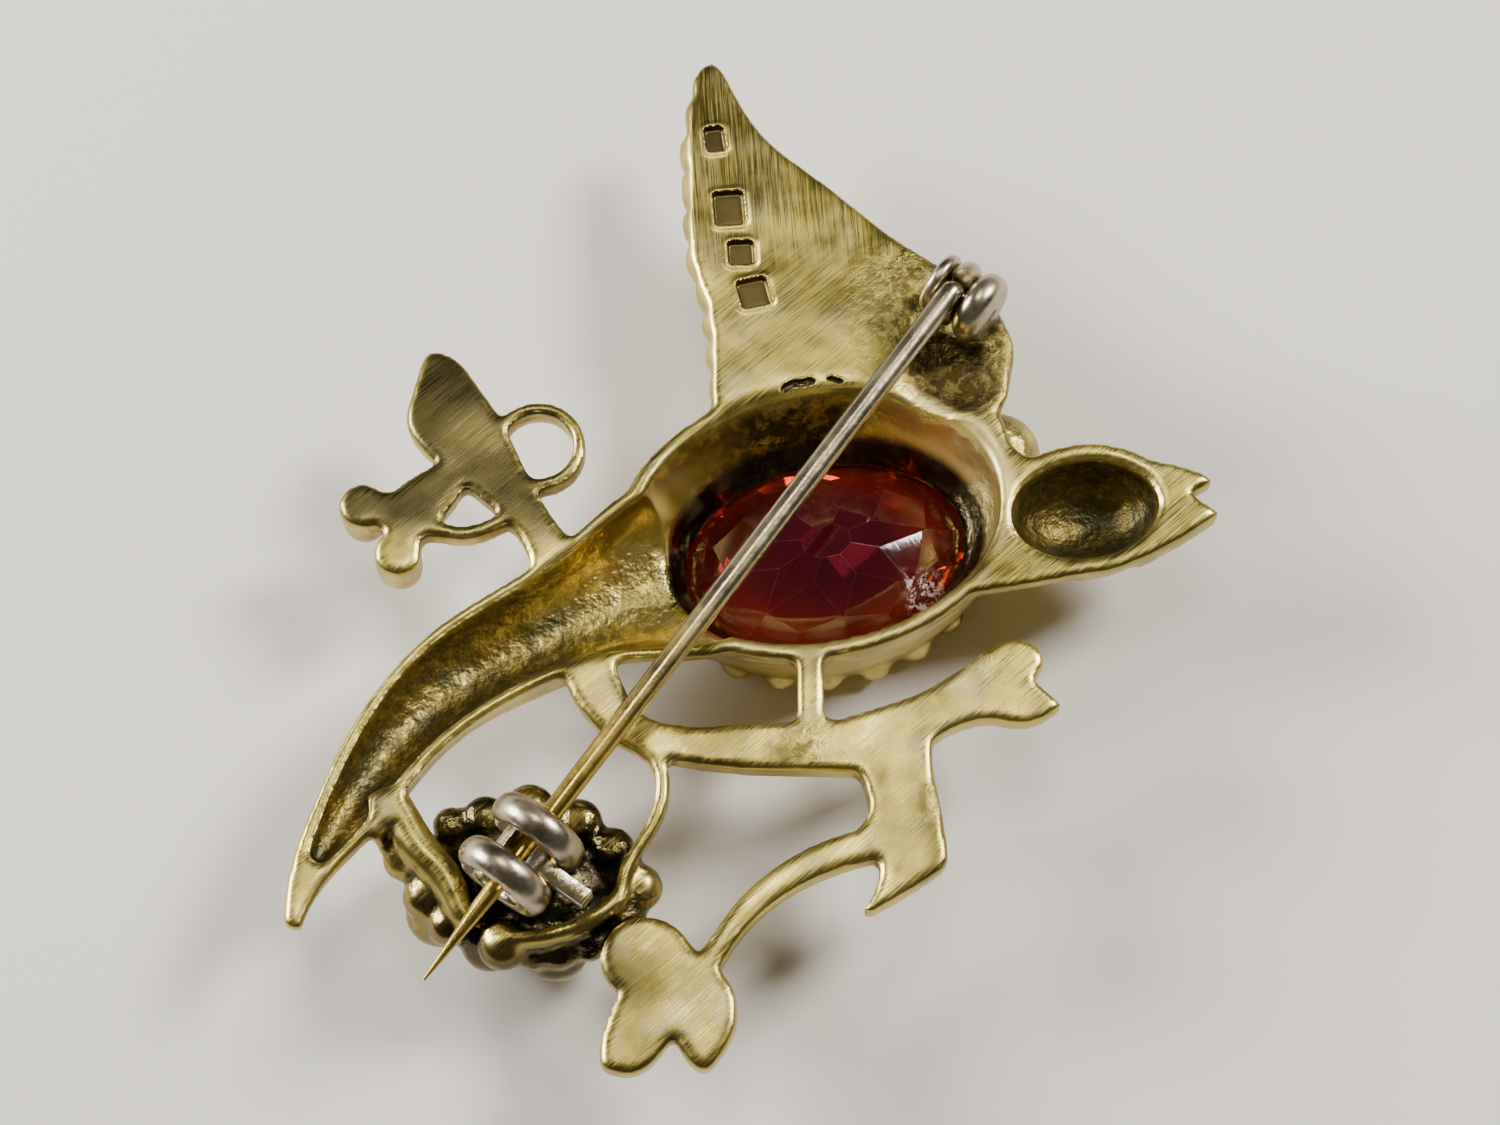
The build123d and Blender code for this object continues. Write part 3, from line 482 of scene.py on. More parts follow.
def spread(values, pairs, rounds):
    """Each value moves to the mean of its neighbours, some rounds over."""
    count = np.bincount(pairs.ravel(), minlength=len(values))
    for _ in range(rounds):
        total = np.bincount(pairs[:, 0], weights=values[pairs[:, 1]], minlength=len(values))
        total += np.bincount(pairs[:, 1], weights=values[pairs[:, 0]], minlength=len(values))
        values = 0.5 * values + 0.5 * total / np.maximum(count, 1)
    return values


def sky_seen(piece, places, normals, rays, reach):
    """The share of the rays from each point that meet no metal."""
    tree = BVHTree.FromObject(piece, bpy.context.evaluated_depsgraph_get())
    golden = math.pi * (3 - math.sqrt(5))
    fan = []
    for step in range(rays):
        height = 0.15 + 0.85 * (step + 0.5) / rays
        ring = math.sqrt(1 - height * height)
        fan.append((ring * math.cos(golden * step), ring * math.sin(golden * step), height))
    seen = np.zeros(len(places))
    for index in range(len(places)):
        normal = Vector(normals[index])
        side = normal.orthogonal().normalized()
        other = normal.cross(side)
        start = Vector(places[index]) + normal * 0.05 * MM
        free = 0
        for a, b, c in fan:
            if tree.ray_cast(start, side * a + other * b + normal * c, reach)[0] is None:
                free += 1
        seen[index] = free / rays
    return seen


def store(piece, name, values):
    """Keep one number per point under a name."""
    attribute = piece.data.attributes.new(name, "FLOAT", "POINT")
    attribute.data.foreach_set("value", np.ascontiguousarray(values, dtype=np.float32))


# %% [markdown]
# The bend at a point is the mean tilt of its edges against its normal: outwards is
# an edge, inwards a dent. The punches are kept out of the dents and hollows, so that
# one even colour lies on their floors, and the pits are kept out of the edges. The
# shell of the head is more open than the tail, and dirt has less hold there, so its
# hollow counts for less.

# %% Edges, dents and hollows
places, normals = read_points(casting)
pairs = point_pairs(casting)
ends = places[pairs[:, 1]] - places[pairs[:, 0]]
lengths = np.maximum(np.linalg.norm(ends, axis=1), 1e-9)
bend_a = -np.einsum("ij,ij->i", ends, normals[pairs[:, 0]]) / lengths
bend_b = np.einsum("ij,ij->i", ends, normals[pairs[:, 1]]) / lengths
lift = np.bincount(pairs[:, 0], weights=bend_a, minlength=len(places))
lift += np.bincount(pairs[:, 1], weights=bend_b, minlength=len(places))
lift /= np.maximum(np.bincount(pairs.ravel(), minlength=len(places)), 1)
lift = spread(lift, pairs, 2)
rays, reach = 18, 6 * MM
seen = spread(sky_seen(casting, places, normals, rays, reach), pairs, 2)
flat_x, flat_y, height = (places / MM).T
facing = normals[:, 2]
not_punched = 1 - np.clip(2 * punched, 0, 1)
round_pits = np.clip(spread(pitted, pairs, 4) * 4, 0, 1)
head_x, head_y = 13.8, 2.6
in_head = ramp(np.hypot(flat_x - head_x, flat_y - head_y), 4.0, -0.8)
store(casting, "edge", np.clip(lift * 3.2 - 0.05, 0, 1) * (1 - round_pits))
store(casting, "dent", np.clip(-lift * 3.5, 0, 1) * not_punched)
store(casting, "hollow", np.clip(1 - seen, 0, 1) * not_punched * (1 - 0.35 * in_head))
store(casting, "punched", punched)
store(casting, "halo", halo)
print("edge", round(float(lift.max()), 3), "hollow", round(float((1 - seen).mean()), 3))

# %% [markdown]
# ## Where each finish lies
#
# The same metal looks different from place to place: brushed on the flats, bright
# gold on the bowl's right and lower wall, sandy where no tool reached. The bright
# wall is clean gilding with a painted reflection of the light on it. Each place is a
# share that fades out at its border, made from distances to the bowl, the scoop and
# the hinge. The bowl's wall is read as an angle round its middle, 0 being towards
# the beak.

# %% Flats, bowl, scoop and hinge
store(casting, "brushed", not_punched * ramp(facing, 0.80, 0.12))
store(casting, "upper", ramp(flat_y, 12.0, 2.5))
around = np.degrees(np.arctan2(places[:, 1] - bowl_middle.y, places[:, 0] - bowl_middle.x))
from_bowl = oval_distance(
    places[:, 0], places[:, 1], bowl_middle, bowl_turn, bowl_half_long, bowl_half_wide
)
bowl_band = ramp(from_bowl, 0.80, 0.08) * ramp(from_bowl, 1.12, -0.08)
# The bright wall: clean gilding with a painted reflection of the light, right and low in the bowl.
right_wall_sheen = bowl_band * ramp(np.abs(around - 28), 44.8, -28)
low_wall_sheen = bowl_band * ramp(-around, 20, 20) * ramp(-around, 150, -20)
store(casting, "bright_wall_and_sheen", np.maximum(right_wall_sheen, 0.6 * low_wall_sheen))
bowl_top = ramp(np.abs(around - 102), 51, -34) * ramp(from_bowl, 1.00, -0.06)
from_scoop = oval_distance(
    places[:, 0], places[:, 1], scoop_middle, -bowl_turn, scoop_half_long, scoop_half_wide
)
right_of_pin = ramp(flat_x, scoop_middle.x / MM - 1.2, 1.0)
in_scoop = ramp(from_scoop, 1.20, -0.3) * right_of_pin
from_hinge = np.hypot(places[:, 0] - hinge_middle.x, places[:, 1] - hinge_middle.y) / MM
near_hinge = ramp(from_hinge, 5.2, -2.8)
sandy = np.maximum.reduce((bowl_top, in_scoop, 0.85 * near_hinge))
sandy_spots = (
    # x, y, radius, share
    (1.7, -9.2, 1.0, 0.8),
    (7.1, -11.6, 0.9, 0.7),
    (8.9, -5.4, 0.8, 0.5),
)
for x, y, radius, share in sandy_spots:
    sandy = np.maximum(sandy, share * soft_spot(places, x, y, radius))
store(casting, "sandy", np.where(height > 2.5, sandy, 0))
store(casting, "pocket", ramp(back_height / MM - height, 0.075, 0.5) * ramp(facing, -0.25, 0.3))
store(casting, "face_down", ramp(facing, 0.25, -0.5))

# %% [markdown]
# The twig and the top of the wing are darker, partly with tarnish and partly with
# painted shade for the dimmer light on the upper left, and so are some spots on the
# flats where a leaf lobe or the wing by the hinge is painted in shade. Soot from the
# solderer's flame is left on the flower cluster, where it spares the raised arm. The
# two pits and the narrow seat round the stone are painted dark too: soot, where no
# cloth reaches, and painted shade in those narrow gaps.

# %% Tarnish, soot and painted shade
# Tarnish and painted shade: the twig on the upper left and the top of the wing, where the light is
# dimmer.
tarnish_and_shade = np.maximum(
    ramp(-flat_x, 7.5, 1.5) * ramp(flat_y, -0.5, 1.5), 0.20 * ramp(flat_y, 14.0, 7.0)
)
# Spots of tarnish and painted shade on leaf lobes and on the wing by the hinge.
tarnish_and_shade_spots = (
    # x, y, radius, share
    (-6.4, -19.6, 2.3, 0.75),
    (6.2, -12.8, 2.0, 0.5),
    (5.2, 9.7, 2.2, 0.5),
)
for x, y, radius, share in tarnish_and_shade_spots:
    tarnish_and_shade = np.maximum(tarnish_and_shade, share * soft_spot(places, x, y, radius))
store(casting, "tarnish_and_shade", tarnish_and_shade)
cluster_x, cluster_y = -9.6, -14.7
soot_and_shade = ramp(np.hypot(flat_x - cluster_x, flat_y - cluster_y), 6.2, -1.6)
soot_and_shade *= 1 - 0.9 * ramp(height, 5.7, 0.5) * ramp(facing, 0, 0.5)
soot_and_shade *= 1 - 0.5 * ramp(-flat_x, 12.0, 1.5)
stone_half_long, stone_half_wide = 6.5 * MM, 4.6 * MM
from_stone = oval_distance(
    places[:, 0], places[:, 1], stone_middle, bowl_turn, stone_half_long, stone_half_wide
)
# The narrow seat round the stone: soot and painted shade in the gap.
seat_shade = ramp(from_stone, 1.13, -0.08) * ramp(height, 4.3, -0.5) * (facing > -0.5)
store(casting, "soot_and_shade", np.maximum.reduce((soot_and_shade, seat_shade, pitted)))
print("stored", sorted(a.name for a in casting.data.attributes if a.data_type == "FLOAT"))

# %% Casting handed over
only(casting)
bpy.ops.object.shade_smooth()
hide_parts("bird_casting")
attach(casting, "brooch")

# %% [markdown]
# ## Worn gilding
#
# The gilding is thin, pale and slightly green, rubbed to grey silver in places,
# brushed in slanting strokes on the flats, and dark olive to blue-green where
# polish never reaches. One material does it all: noise in the object's own
# coordinates for the patches, stretched noise for the brush strokes, and the
# stored shares to say where wear, dirt and the painted shade and reflections
# belong. Some short helpers come first, because the same few nodes are used
# again and again.


# %% Node helpers
def new_material(name):
    """An empty node material with its shader."""
    material = bpy.data.materials.new(name)
    material.use_nodes = True
    return material, material.node_tree, material.node_tree.nodes["Principled BSDF"]


def add_node(tree, kind, **inputs):
    """A node with some of its inputs set or linked."""
    made = tree.nodes.new(kind)
    for key, value in inputs.items():
        socket = made.inputs[key.replace("_", " ")]
        if isinstance(value, bpy.types.NodeSocket):
            tree.links.new(value, socket)
        else:
            socket.default_value = value
    return made


def stored(tree, name):
    """A stored point value."""
    made = tree.nodes.new("ShaderNodeAttribute")
    made.attribute_name = name
    return made.outputs["Fac"]


def object_place(tree):
    """The point's place in the object's own coordinates."""
    return tree.nodes.new("ShaderNodeTexCoord").outputs["Object"]


def noise(tree, place, scale, detail=4.0, rough=0.55):
    """Noise with features of about 1/scale metres."""
    made = add_node(
        tree, "ShaderNodeTexNoise", Vector=place, Scale=scale, Detail=detail, Roughness=rough
    )
    return made.outputs["Fac"]


def strokes(tree, place, turn, fine, along):
    """Noise drawn out along one direction, like brush marks. A turn of 0 runs along Y."""
    mapping = add_node(tree, "ShaderNodeMapping", Vector=place)
    mapping.vector_type = "TEXTURE"
    mapping.inputs["Rotation"].default_value = (0, 0, math.radians(turn))
    mapping.inputs["Scale"].default_value = (1 / fine, 1 / along, 1 / along)
    return noise(tree, mapping.outputs["Vector"], 1.0, 3.0, 0.6)


def between(tree, value, low, high, out_low=0.0, out_high=1.0):
    """Value taken from low..high to another range, smoothly and clamped."""
    made = tree.nodes.new("ShaderNodeMapRange")
    made.interpolation_type = "SMOOTHSTEP"
    tree.links.new(value, made.inputs["Value"])
    made.inputs["From Min"].default_value = low
    made.inputs["From Max"].default_value = high
    made.inputs["To Min"].default_value = out_low
    made.inputs["To Max"].default_value = out_high
    return made.outputs["Result"]


def combine(tree, first, second, operation="ADD", clamp=False):
    """Two values put together, added if nothing else is said."""
    made = tree.nodes.new("ShaderNodeMath")
    made.operation = operation
    made.use_clamp = clamp
    for socket, value in zip(made.inputs, (first, second)):
        if isinstance(value, bpy.types.NodeSocket):
            tree.links.new(value, socket)
        else:
            socket.default_value = value
    return made.outputs["Value"]


def times(tree, first, second):
    """Two values multiplied."""
    return combine(tree, first, second, "MULTIPLY")


def mix(tree, share, first, second):
    """A colour between two others."""
    made = tree.nodes.new("ShaderNodeMix")
    made.data_type = "RGBA"
    for socket, value in ((made.inputs[0], share), (made.inputs[6], first), (made.inputs[7], second)):
        if isinstance(value, bpy.types.NodeSocket):
            tree.links.new(value, socket)
        elif isinstance(value, tuple):
            socket.default_value = (*value, 1)
        else:
            socket.default_value = value
    return made.outputs[2]


def bump(tree, height, depth, under=None):
    """A surface roughened by a height, its depth in metres."""
    made = add_node(tree, "ShaderNodeBump", Height=height, Distance=depth)
    if under is not None:
        tree.links.new(under, made.inputs["Normal"])
    return made.outputs["Normal"]


# %% [markdown]
# A metal's base colour is what it reflects, in linear light, so these numbers are
# darker and stronger in hue than the finish looks. The patterns are noises of
# several sizes, and two sets of strokes: steep ones on the upper wing, slanting
# ones below. Their scales count features a metre.

# %% Gilt colours and patterns
pale_gold = (0.64, 0.51, 0.130)
green_gold = (0.19, 0.150, 0.038)
bare_silver = (0.31, 0.272, 0.150)
rich_gold = (0.74, 0.56, 0.15)
# The bright wall gold is partly a painted reflection; the tarnish and soot darks are partly painted
# shade.
wall_sheen_gold = (0.80, 0.66, 0.26)
pocket_gold = (0.39, 0.30, 0.090)
tarnish_shade_dark = (0.058, 0.048, 0.022)
stroke_shade = (0.20, 0.160, 0.055)
olive_dirt = (0.070, 0.050, 0.014)
sand_brown = (0.032, 0.022, 0.007)
blue_dirt = (0.040, 0.043, 0.026)
soot_and_shade_brown = (0.030, 0.025, 0.016)
punch_brown = (0.105, 0.078, 0.030)

gilt, tree, shader = new_material("worn_gilding")
place = object_place(tree)
edge = stored(tree, "edge")
dent = stored(tree, "dent")
hollow = stored(tree, "hollow")
pocket = stored(tree, "pocket")
soot_and_shade = stored(tree, "soot_and_shade")
sandy = stored(tree, "sandy")
punched = stored(tree, "punched")
halo = stored(tree, "halo")
brushed = stored(tree, "brushed")
tarnish_and_shade = stored(tree, "tarnish_and_shade")
bright_wall_and_sheen = stored(tree, "bright_wall_and_sheen")
face_down = stored(tree, "face_down")
patches = noise(tree, place, 150, 4, 0.6)
rubbed = noise(tree, place, 420, 5, 0.65)
stipple = noise(tree, place, 2600, 5, 0.7)
wander = noise(tree, place, 420, 1, 0.5)
lumps = noise(tree, place, 1100, 3, 0.6)
grit = noise(tree, place, 1500, 4, 0.65)
slanting = strokes(tree, place, -48, 18000, 420)
steep = strokes(tree, place, 4, 18000, 420)
stroke = mix(tree, stored(tree, "upper"), slanting, steep)

# %% [markdown]
# The flats lie in patches of gold and green gold, with some silver rubbed bare. The
# strokes only show on faces that look straight up, with painted shade in their low
# parts and a painted highlight on their high ones, and tarnish with painted shade
# goes over both.

# %% Flats
colour = mix(tree, between(tree, patches, 0.42, 0.62), green_gold, pale_gold)
colour = mix(tree, between(tree, rubbed, 0.48, 0.66, 0, 0.6), colour, bare_silver)
# Painted shade in the strokes' low parts, a painted highlight on their high parts.
stroke_shading = times(tree, between(tree, stroke, 0.36, 0.52, 0.16, 0.0), brushed)
stroke_highlight = times(tree, between(tree, stroke, 0.50, 0.64, 0.0, 0.5), brushed)
colour = mix(tree, stroke_shading, colour, stroke_shade)
colour = mix(tree, stroke_highlight, colour, pale_gold)
# Tarnish and painted shade darken the twig, the top of the wing and some spots.
colour = mix(tree, times(tree, tarnish_and_shade, 0.9), colour, tarnish_shade_dark)

# %% [markdown]
# Below the back the gold is deeper, with glints in it. Dirt gathers by a sum: deep
# or dented places, patches and stipple add to it, rubbed rims round the punches
# take from it, and past a threshold the metal goes dark. Sandy places get a coarser
# brown grit. The bowl's bright walls are laid over the dirt: clean gilding with a
# painted reflection of the light on it.

# %% Hollows
colour = mix(tree, times(tree, pocket, 0.85), colour, pocket_gold)
glint = times(tree, between(tree, rubbed, 0.51, 0.63), pocket)
colour = mix(tree, glint, colour, rich_gold)
dirt_amount = combine(tree, combine(tree, hollow, dent), times(tree, patches, 0.8))
dirt_amount = combine(tree, dirt_amount, times(tree, stipple, 0.6))
dirt_amount = combine(tree, dirt_amount, times(tree, sandy, 0.30))
dirt_amount = combine(tree, dirt_amount, times(tree, halo, 0.3), "SUBTRACT")
dirt = between(tree, dirt_amount, 0.92, 1.34, 0, 0.9)
olive_share = combine(tree, between(tree, rubbed, 0.42, 0.54), sandy, clamp=True)
dirt_colour = mix(tree, olive_share, blue_dirt, olive_dirt)
colour = mix(tree, dirt, colour, dirt_colour)
sand = times(tree, sandy, between(tree, grit, 0.43, 0.55))
colour = mix(tree, times(tree, sand, 0.88), colour, sand_brown)
# The bowl's right and lower wall: clean gold with a painted reflection of the light.
colour = mix(tree, times(tree, bright_wall_and_sheen, 0.95), colour, wall_sheen_gold)

# %% [markdown]
# Edges are rubbed back to pale gold, less so where soot and painted shade lie. The
# soot itself, with the painted shade in the seat and the pits, and the even brown of
# the punch floors follow. The front, which is hardly seen, keeps more of its rich
# first gilding.

# %% Wear, soot, painted shade and front
clean = combine(tree, 0.7, times(tree, soot_and_shade, 0.6), "SUBTRACT")
worn_edge = times(tree, combine(tree, edge, halo, clamp=True), clean)
colour = mix(tree, worn_edge, colour, pale_gold)
soot_and_shade_mix = times(tree, soot_and_shade, between(tree, rubbed, 0.35, 0.6, 0.8, 1.0))
# Soot on the cluster, and painted shade with soot in the seat and the pits.
colour = mix(tree, times(tree, soot_and_shade_mix, 0.95), colour, soot_and_shade_brown)
colour = mix(tree, punched, colour, punch_brown)
front_gold = times(tree, face_down, between(tree, patches, 0.3, 0.7, 0.35, 0.75))
colour = mix(tree, front_gold, colour, rich_gold)
tree.links.new(colour, shader.inputs["Base Color"])
shader.inputs["Metallic"].default_value = 1.0

# %% [markdown]
# Brushing and dirt dull the metal, and soot leaves it glossy. The relief is a chain
# of bumps, each on top of the last: fine strokes, sandy grit, the slow wander of a
# hand-polished face, lumps in the hollows and pitting. The strokes are only some
# thousandths of a millimetre deep, which is already plenty on polished metal.

# %% Gloss and relief
brushing = times(tree, between(tree, stroke, 0.35, 0.65, -0.08, 0.08), brushed)
rough = combine(tree, times(tree, bright_wall_and_sheen, 0.10), combine(tree, brushing, 0.33))
rough = combine(tree, rough, times(tree, dirt, 0.14))
rough = combine(tree, rough, times(tree, soot_and_shade, -0.13), clamp=True)
tree.links.new(rough, shader.inputs["Roughness"])
unmarked = combine(tree, 1.0, punched, "SUBTRACT")
surface = bump(tree, times(tree, stroke, brushed), 0.005 * MM)
surface = bump(tree, times(tree, grit, sandy), 0.16 * MM, surface)
surface = bump(tree, times(tree, wander, unmarked), 0.10 * MM, surface)
lumpy = times(tree, lumps, between(tree, hollow, 0.1, 0.4))
surface = bump(tree, lumpy, 0.20 * MM, surface)
grain = combine(tree, combine(tree, hollow, 0.06), times(tree, sandy, 1.6))
pitting = times(tree, times(tree, stipple, grain), unmarked)
surface = bump(tree, pitting, 0.07 * MM, surface)
tree.links.new(surface, shader.inputs["Normal"])
casting.data.materials.append(gilt)

# %% [markdown]
# ## The stone
#
# A red paste stone, cut with flat facets and held by its edge. Its look comes from
# refraction, so it is clear glass of a deep colour with a higher index than window
# glass, maroon in the middle and orange-red outside. One chipped patch on its right
# is crinkled and milky: there the glass lets less light through.

# %% Stone material
paste, tree, shader = new_material("red_paste")
place = object_place(tree)
centring = add_node(tree, "ShaderNodeMapping", Vector=place)
centring.inputs["Location"].default_value = (-stone_middle.x * 150, -stone_middle.y * 200, 0)
centring.inputs["Scale"].default_value = (150, 200, 0)
from_middle = add_node(tree, "ShaderNodeVectorMath", Vector=centring.outputs["Vector"])
from_middle.operation = "LENGTH"
cloud = noise(tree, place, 300, 3)
depth = combine(tree, from_middle.outputs["Value"], times(tree, cloud, 0.5))
maroon, orange_red, milky = (0.15, 0.008, 0.022), (0.42, 0.036, 0.012), (0.62, 0.56, 0.62)
red = mix(tree, between(tree, depth, 0.55, 1.15), maroon, orange_red)
chip_place = stone_middle / MM + Vector((4.2, -1.7, 0))
chip_map = add_node(tree, "ShaderNodeMapping", Vector=place)
chip_map.inputs["Location"].default_value = (-chip_place.x, -chip_place.y, 0)
chip_map.inputs["Scale"].default_value = (1000, 1000, 0)
from_chip = add_node(tree, "ShaderNodeVectorMath", Vector=chip_map.outputs["Vector"])
from_chip.operation = "LENGTH"
crinkle = noise(tree, place, 3300, 4, 0.7)
ragged = combine(tree, from_chip.outputs["Value"], noise(tree, place, 1300, 2))
near_chip = between(tree, ragged, 1.05, 1.75, 1.0, 0.0)
sparkle = times(tree, near_chip, between(tree, crinkle, 0.48, 0.60))
tree.links.new(mix(tree, sparkle, red, milky), shader.inputs["Base Color"])
tree.links.new(between(tree, sparkle, 0, 1, 0.86, 0.1), shader.inputs["Transmission Weight"])
shader.inputs["IOR"].default_value = 1.62
scuffs = strokes(tree, place, 35, 5200, 300)
tree.links.new(between(tree, scuffs, 0.62, 0.8, 0.02, 0.15), shader.inputs["Roughness"])
tree.links.new(bump(tree, scuffs, 0.001 * MM), shader.inputs["Normal"])

# %% [markdown]
# A copy of the CAD solid has the right facets. Their edges are worn, so each gets a
# very fine bevel in a second, duller material, which shows as broken pale lines.

# %% Stone shape
stone = cad_copy("oval_stone", "red_stone")
stone.data.materials.append(paste)
chips, tree, shader = new_material("worn_facet_edges")
place = object_place(tree)
chipped = between(tree, noise(tree, place, 1900, 4), 0.55, 0.73)
edge_colour = mix(tree, chipped, (0.11, 0.009, 0.012), (0.34, 0.19, 0.20))
tree.links.new(edge_colour, shader.inputs["Base Color"])
shader.inputs["Roughness"].default_value = 0.35
stone.data.materials.append(chips)
fine_bevel = stone.modifiers.new("worn_edges", "BEVEL")
fine_bevel.width = 0.013 * MM
fine_bevel.segments = 1
fine_bevel.limit_method = "ANGLE"
fine_bevel.angle_limit = math.radians(6)
fine_bevel.material = 1
apply_all(stone)
bpy.ops.object.shade_flat()
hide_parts("oval_stone")
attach(stone, "brooch")
print("stone", len(stone.data.polygons), "faces")

# %% [markdown]
# ## The hinge knuckles
#
# Two polished discs stand on the wing with the pin's eye between them, a thin one
# and one as fat as a bead. A sphere squashed flat would be too pointed at its rim,
# so each starts as a short cylinder, and both of its rims are bevelled by nearly
# half its thickness until it is as round as a cushion.

# %% Knuckles
left_radius, right_radius = 1.34 * MM, 1.6 * MM
knuckle_round = 0.46
side_corners = 4


def knuckle(name, side, thick, radius):
    """One rounded disc beside the pin's eye."""
    middle = hinge_middle + across * side * (knuckle_gap + thick) / 2
    bpy.ops.object.select_all(action="DESELECT")
    bpy.ops.mesh.primitive_cylinder_add(
        vertices=64, radius=radius, depth=thick, end_fill_type="NGON",
        location=middle, rotation=turned(across * side, (0, 0, 1)),
    )
    disc = bpy.context.object
    disc.name = name
    bpy.ops.object.mode_set(mode="EDIT")
    bpy.ops.mesh.select_mode(type="FACE")
    bpy.ops.mesh.select_all(action="DESELECT")
    bpy.ops.object.mode_set(mode="OBJECT")
    for face in disc.data.polygons:
        face.select = len(face.vertices) > side_corners
    bpy.ops.object.mode_set(mode="EDIT")
    bpy.ops.mesh.bevel(offset=knuckle_round * thick, segments=9, affect="EDGES", profile=0.5)
    bpy.ops.mesh.select_all(action="SELECT")
    bpy.ops.mesh.normals_make_consistent(inside=False)
    bpy.ops.object.mode_set(mode="OBJECT")
    bpy.ops.object.shade_smooth_by_angle(angle=math.radians(40))
    bpy.ops.object.transform_apply(location=True, rotation=True, scale=True)
    return disc


knuckles = [
    knuckle("hinge_knuckle_left", 1, left_knuckle, left_radius),
    knuckle("hinge_knuckle_right", -1, right_knuckle, right_radius),
]
for disc in knuckles:
    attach(disc, "brooch")
    print(disc.name, len(disc.data.polygons), "faces")

# %% [markdown]
# ## The catch rings
#
# The catch is a pair of fat rings with a slot between them, in which the thumb tab
# travels. Both are open on the side away from the tab, so that the pin can enter.
# A torus, made thicker along its axis, is very close to such a ring. The faces in
# the mouth are taken out and both cut ends are filled.

# %% Rings
ring_radius = 2.1 * MM
ring_bore = 1.15 * MM
ring_thick = 1.35 * MM
ring_slot = 0.85 * MM
mouth = 1.2 * MM
up_at_catch = across.cross(pin_line).normalized()


def catch_ring(name, side):
    """One open ring, its mouth away from the thumb tab."""
    middle = catch_middle + pin_line * side * (ring_slot + ring_thick) / 2
    bpy.ops.object.select_all(action="DESELECT")
    bpy.ops.mesh.primitive_torus_add(
        location=(0, 0, 0), major_segments=112, minor_segments=36,
        major_radius=(ring_radius + ring_bore) / 2, minor_radius=(ring_radius - ring_bore) / 2,
    )
    ring = bpy.context.object
    ring.name = name
    ring.scale = (1, 1, ring_thick / (ring_radius - ring_bore))
    bpy.ops.object.transform_apply(scale=True)
    bpy.ops.object.mode_set(mode="EDIT")
    bpy.ops.mesh.select_mode(type="FACE")
    bpy.ops.mesh.select_all(action="DESELECT")
    bpy.ops.object.mode_set(mode="OBJECT")
    for face in ring.data.polygons:
        face.select = face.center.y > 0 and abs(face.center.x) < mouth / 2
    bpy.ops.object.mode_set(mode="EDIT")
    bpy.ops.mesh.delete(type="FACE")
    bpy.ops.mesh.select_mode(type="EDGE")
    bpy.ops.mesh.select_all(action="SELECT")
    bpy.ops.mesh.region_to_loop()
    bpy.ops.mesh.fill_holes(sides=0)
    bpy.ops.object.mode_set(mode="OBJECT")
    x, y, z = up_at_catch, across, pin_line
    stand = Matrix((x, y, z)).transposed().to_4x4()
    ring.data.transform(Matrix.Translation(middle) @ stand)
    if stand.determinant() < 0:
        ring.data.flip_normals()
    bpy.ops.object.shade_smooth_by_angle(angle=math.radians(50))
    return ring


rings = [catch_ring("catch_ring_upper", -1), catch_ring("catch_ring_lower", 1)]
for ring in rings:
    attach(ring, "brooch")
    print(ring.name, len(ring.data.polygons), "faces")

# %% [markdown]
# ## Polished silver
#
# The findings are bare silver with a faint warm cast and soft rubbed marks. On
# smooth round metal a mottled tint and a roughness that varies with it are enough,
# with a bump so low that it only breaks up the highlights.

# %% Silver material
silver, tree, shader = new_material("polished_silver")
place = object_place(tree)
smear = noise(tree, place, 900, 4)
tint = mix(tree, between(tree, smear, 0.35, 0.65), (0.30, 0.25, 0.175), (0.47, 0.40, 0.285))
tree.links.new(tint, shader.inputs["Base Color"])
shader.inputs["Metallic"].default_value = 1.0
tree.links.new(between(tree, smear, 0.3, 0.7, 0.25, 0.38), shader.inputs["Roughness"])
surface = bump(tree, noise(tree, place, 1500, 3), 0.016 * MM)
tree.links.new(surface, shader.inputs["Normal"])
for piece in knuckles + rings:
    piece.data.materials.clear()
    piece.data.materials.append(silver)

# %% [markdown]
# ## The pin
#
# One length of round wire: it is bent round the rivet into an eye, runs straight to
# the catch while it thins a little, and ends in a sharp point. A smooth curve with
# a round section is the plain way to make wire. Each point's radius gives the
# taper, and the curve is then turned into a mesh.

# %% Pin
pin_radius = 0.5 * MM
eye_radius = 1.02 * MM
flat_line = Vector((pin_line.x, pin_line.y, 0)).normalized()
shank_start = hinge_middle + Vector((0, 0, eye_radius))
past_catch = 6.3 * MM
pin_length = (catch_middle - shank_start).length + past_catch
wire_points = []
coil_steps = 12
coil_turn = 360 / coil_steps
coil_reach = eye_radius / math.cos(math.pi / coil_steps)
for step in range(coil_steps):
    angle = math.radians(90 + coil_turn / 2 + coil_turn * (coil_steps - 1 - step))
    radial = -flat_line * math.cos(angle) + Vector((0, 0, 1)) * math.sin(angle)
    wire_points.append((hinge_middle + radial * coil_reach, 1.0))
shank = ((0.05, 1.0), (0.25, 0.99), (0.5, 0.95), (0.7, 0.90), (0.82, 0.86), (0.865, 0.84))
sharp_point = ((0.91, 0.62), (0.96, 0.36), (1.0, 0.13))
for share, thick in shank + sharp_point:
    wire_points.append((shank_start + pin_line * pin_length * share, thick))
bpy.ops.object.select_all(action="DESELECT")
bpy.ops.curve.primitive_nurbs_path_add(location=(0, 0, 0))
pin = bpy.context.object
pin.name = "brooch_pin"
spline = pin.data.splines[0]
spline.points.add(len(wire_points) - len(spline.points))
for point, (where, thick) in zip(spline.points, wire_points):
    point.co = (*where, 1)
    point.radius = thick
spline.order_u = 3
spline.use_endpoint_u = True
spline.resolution_u = 6
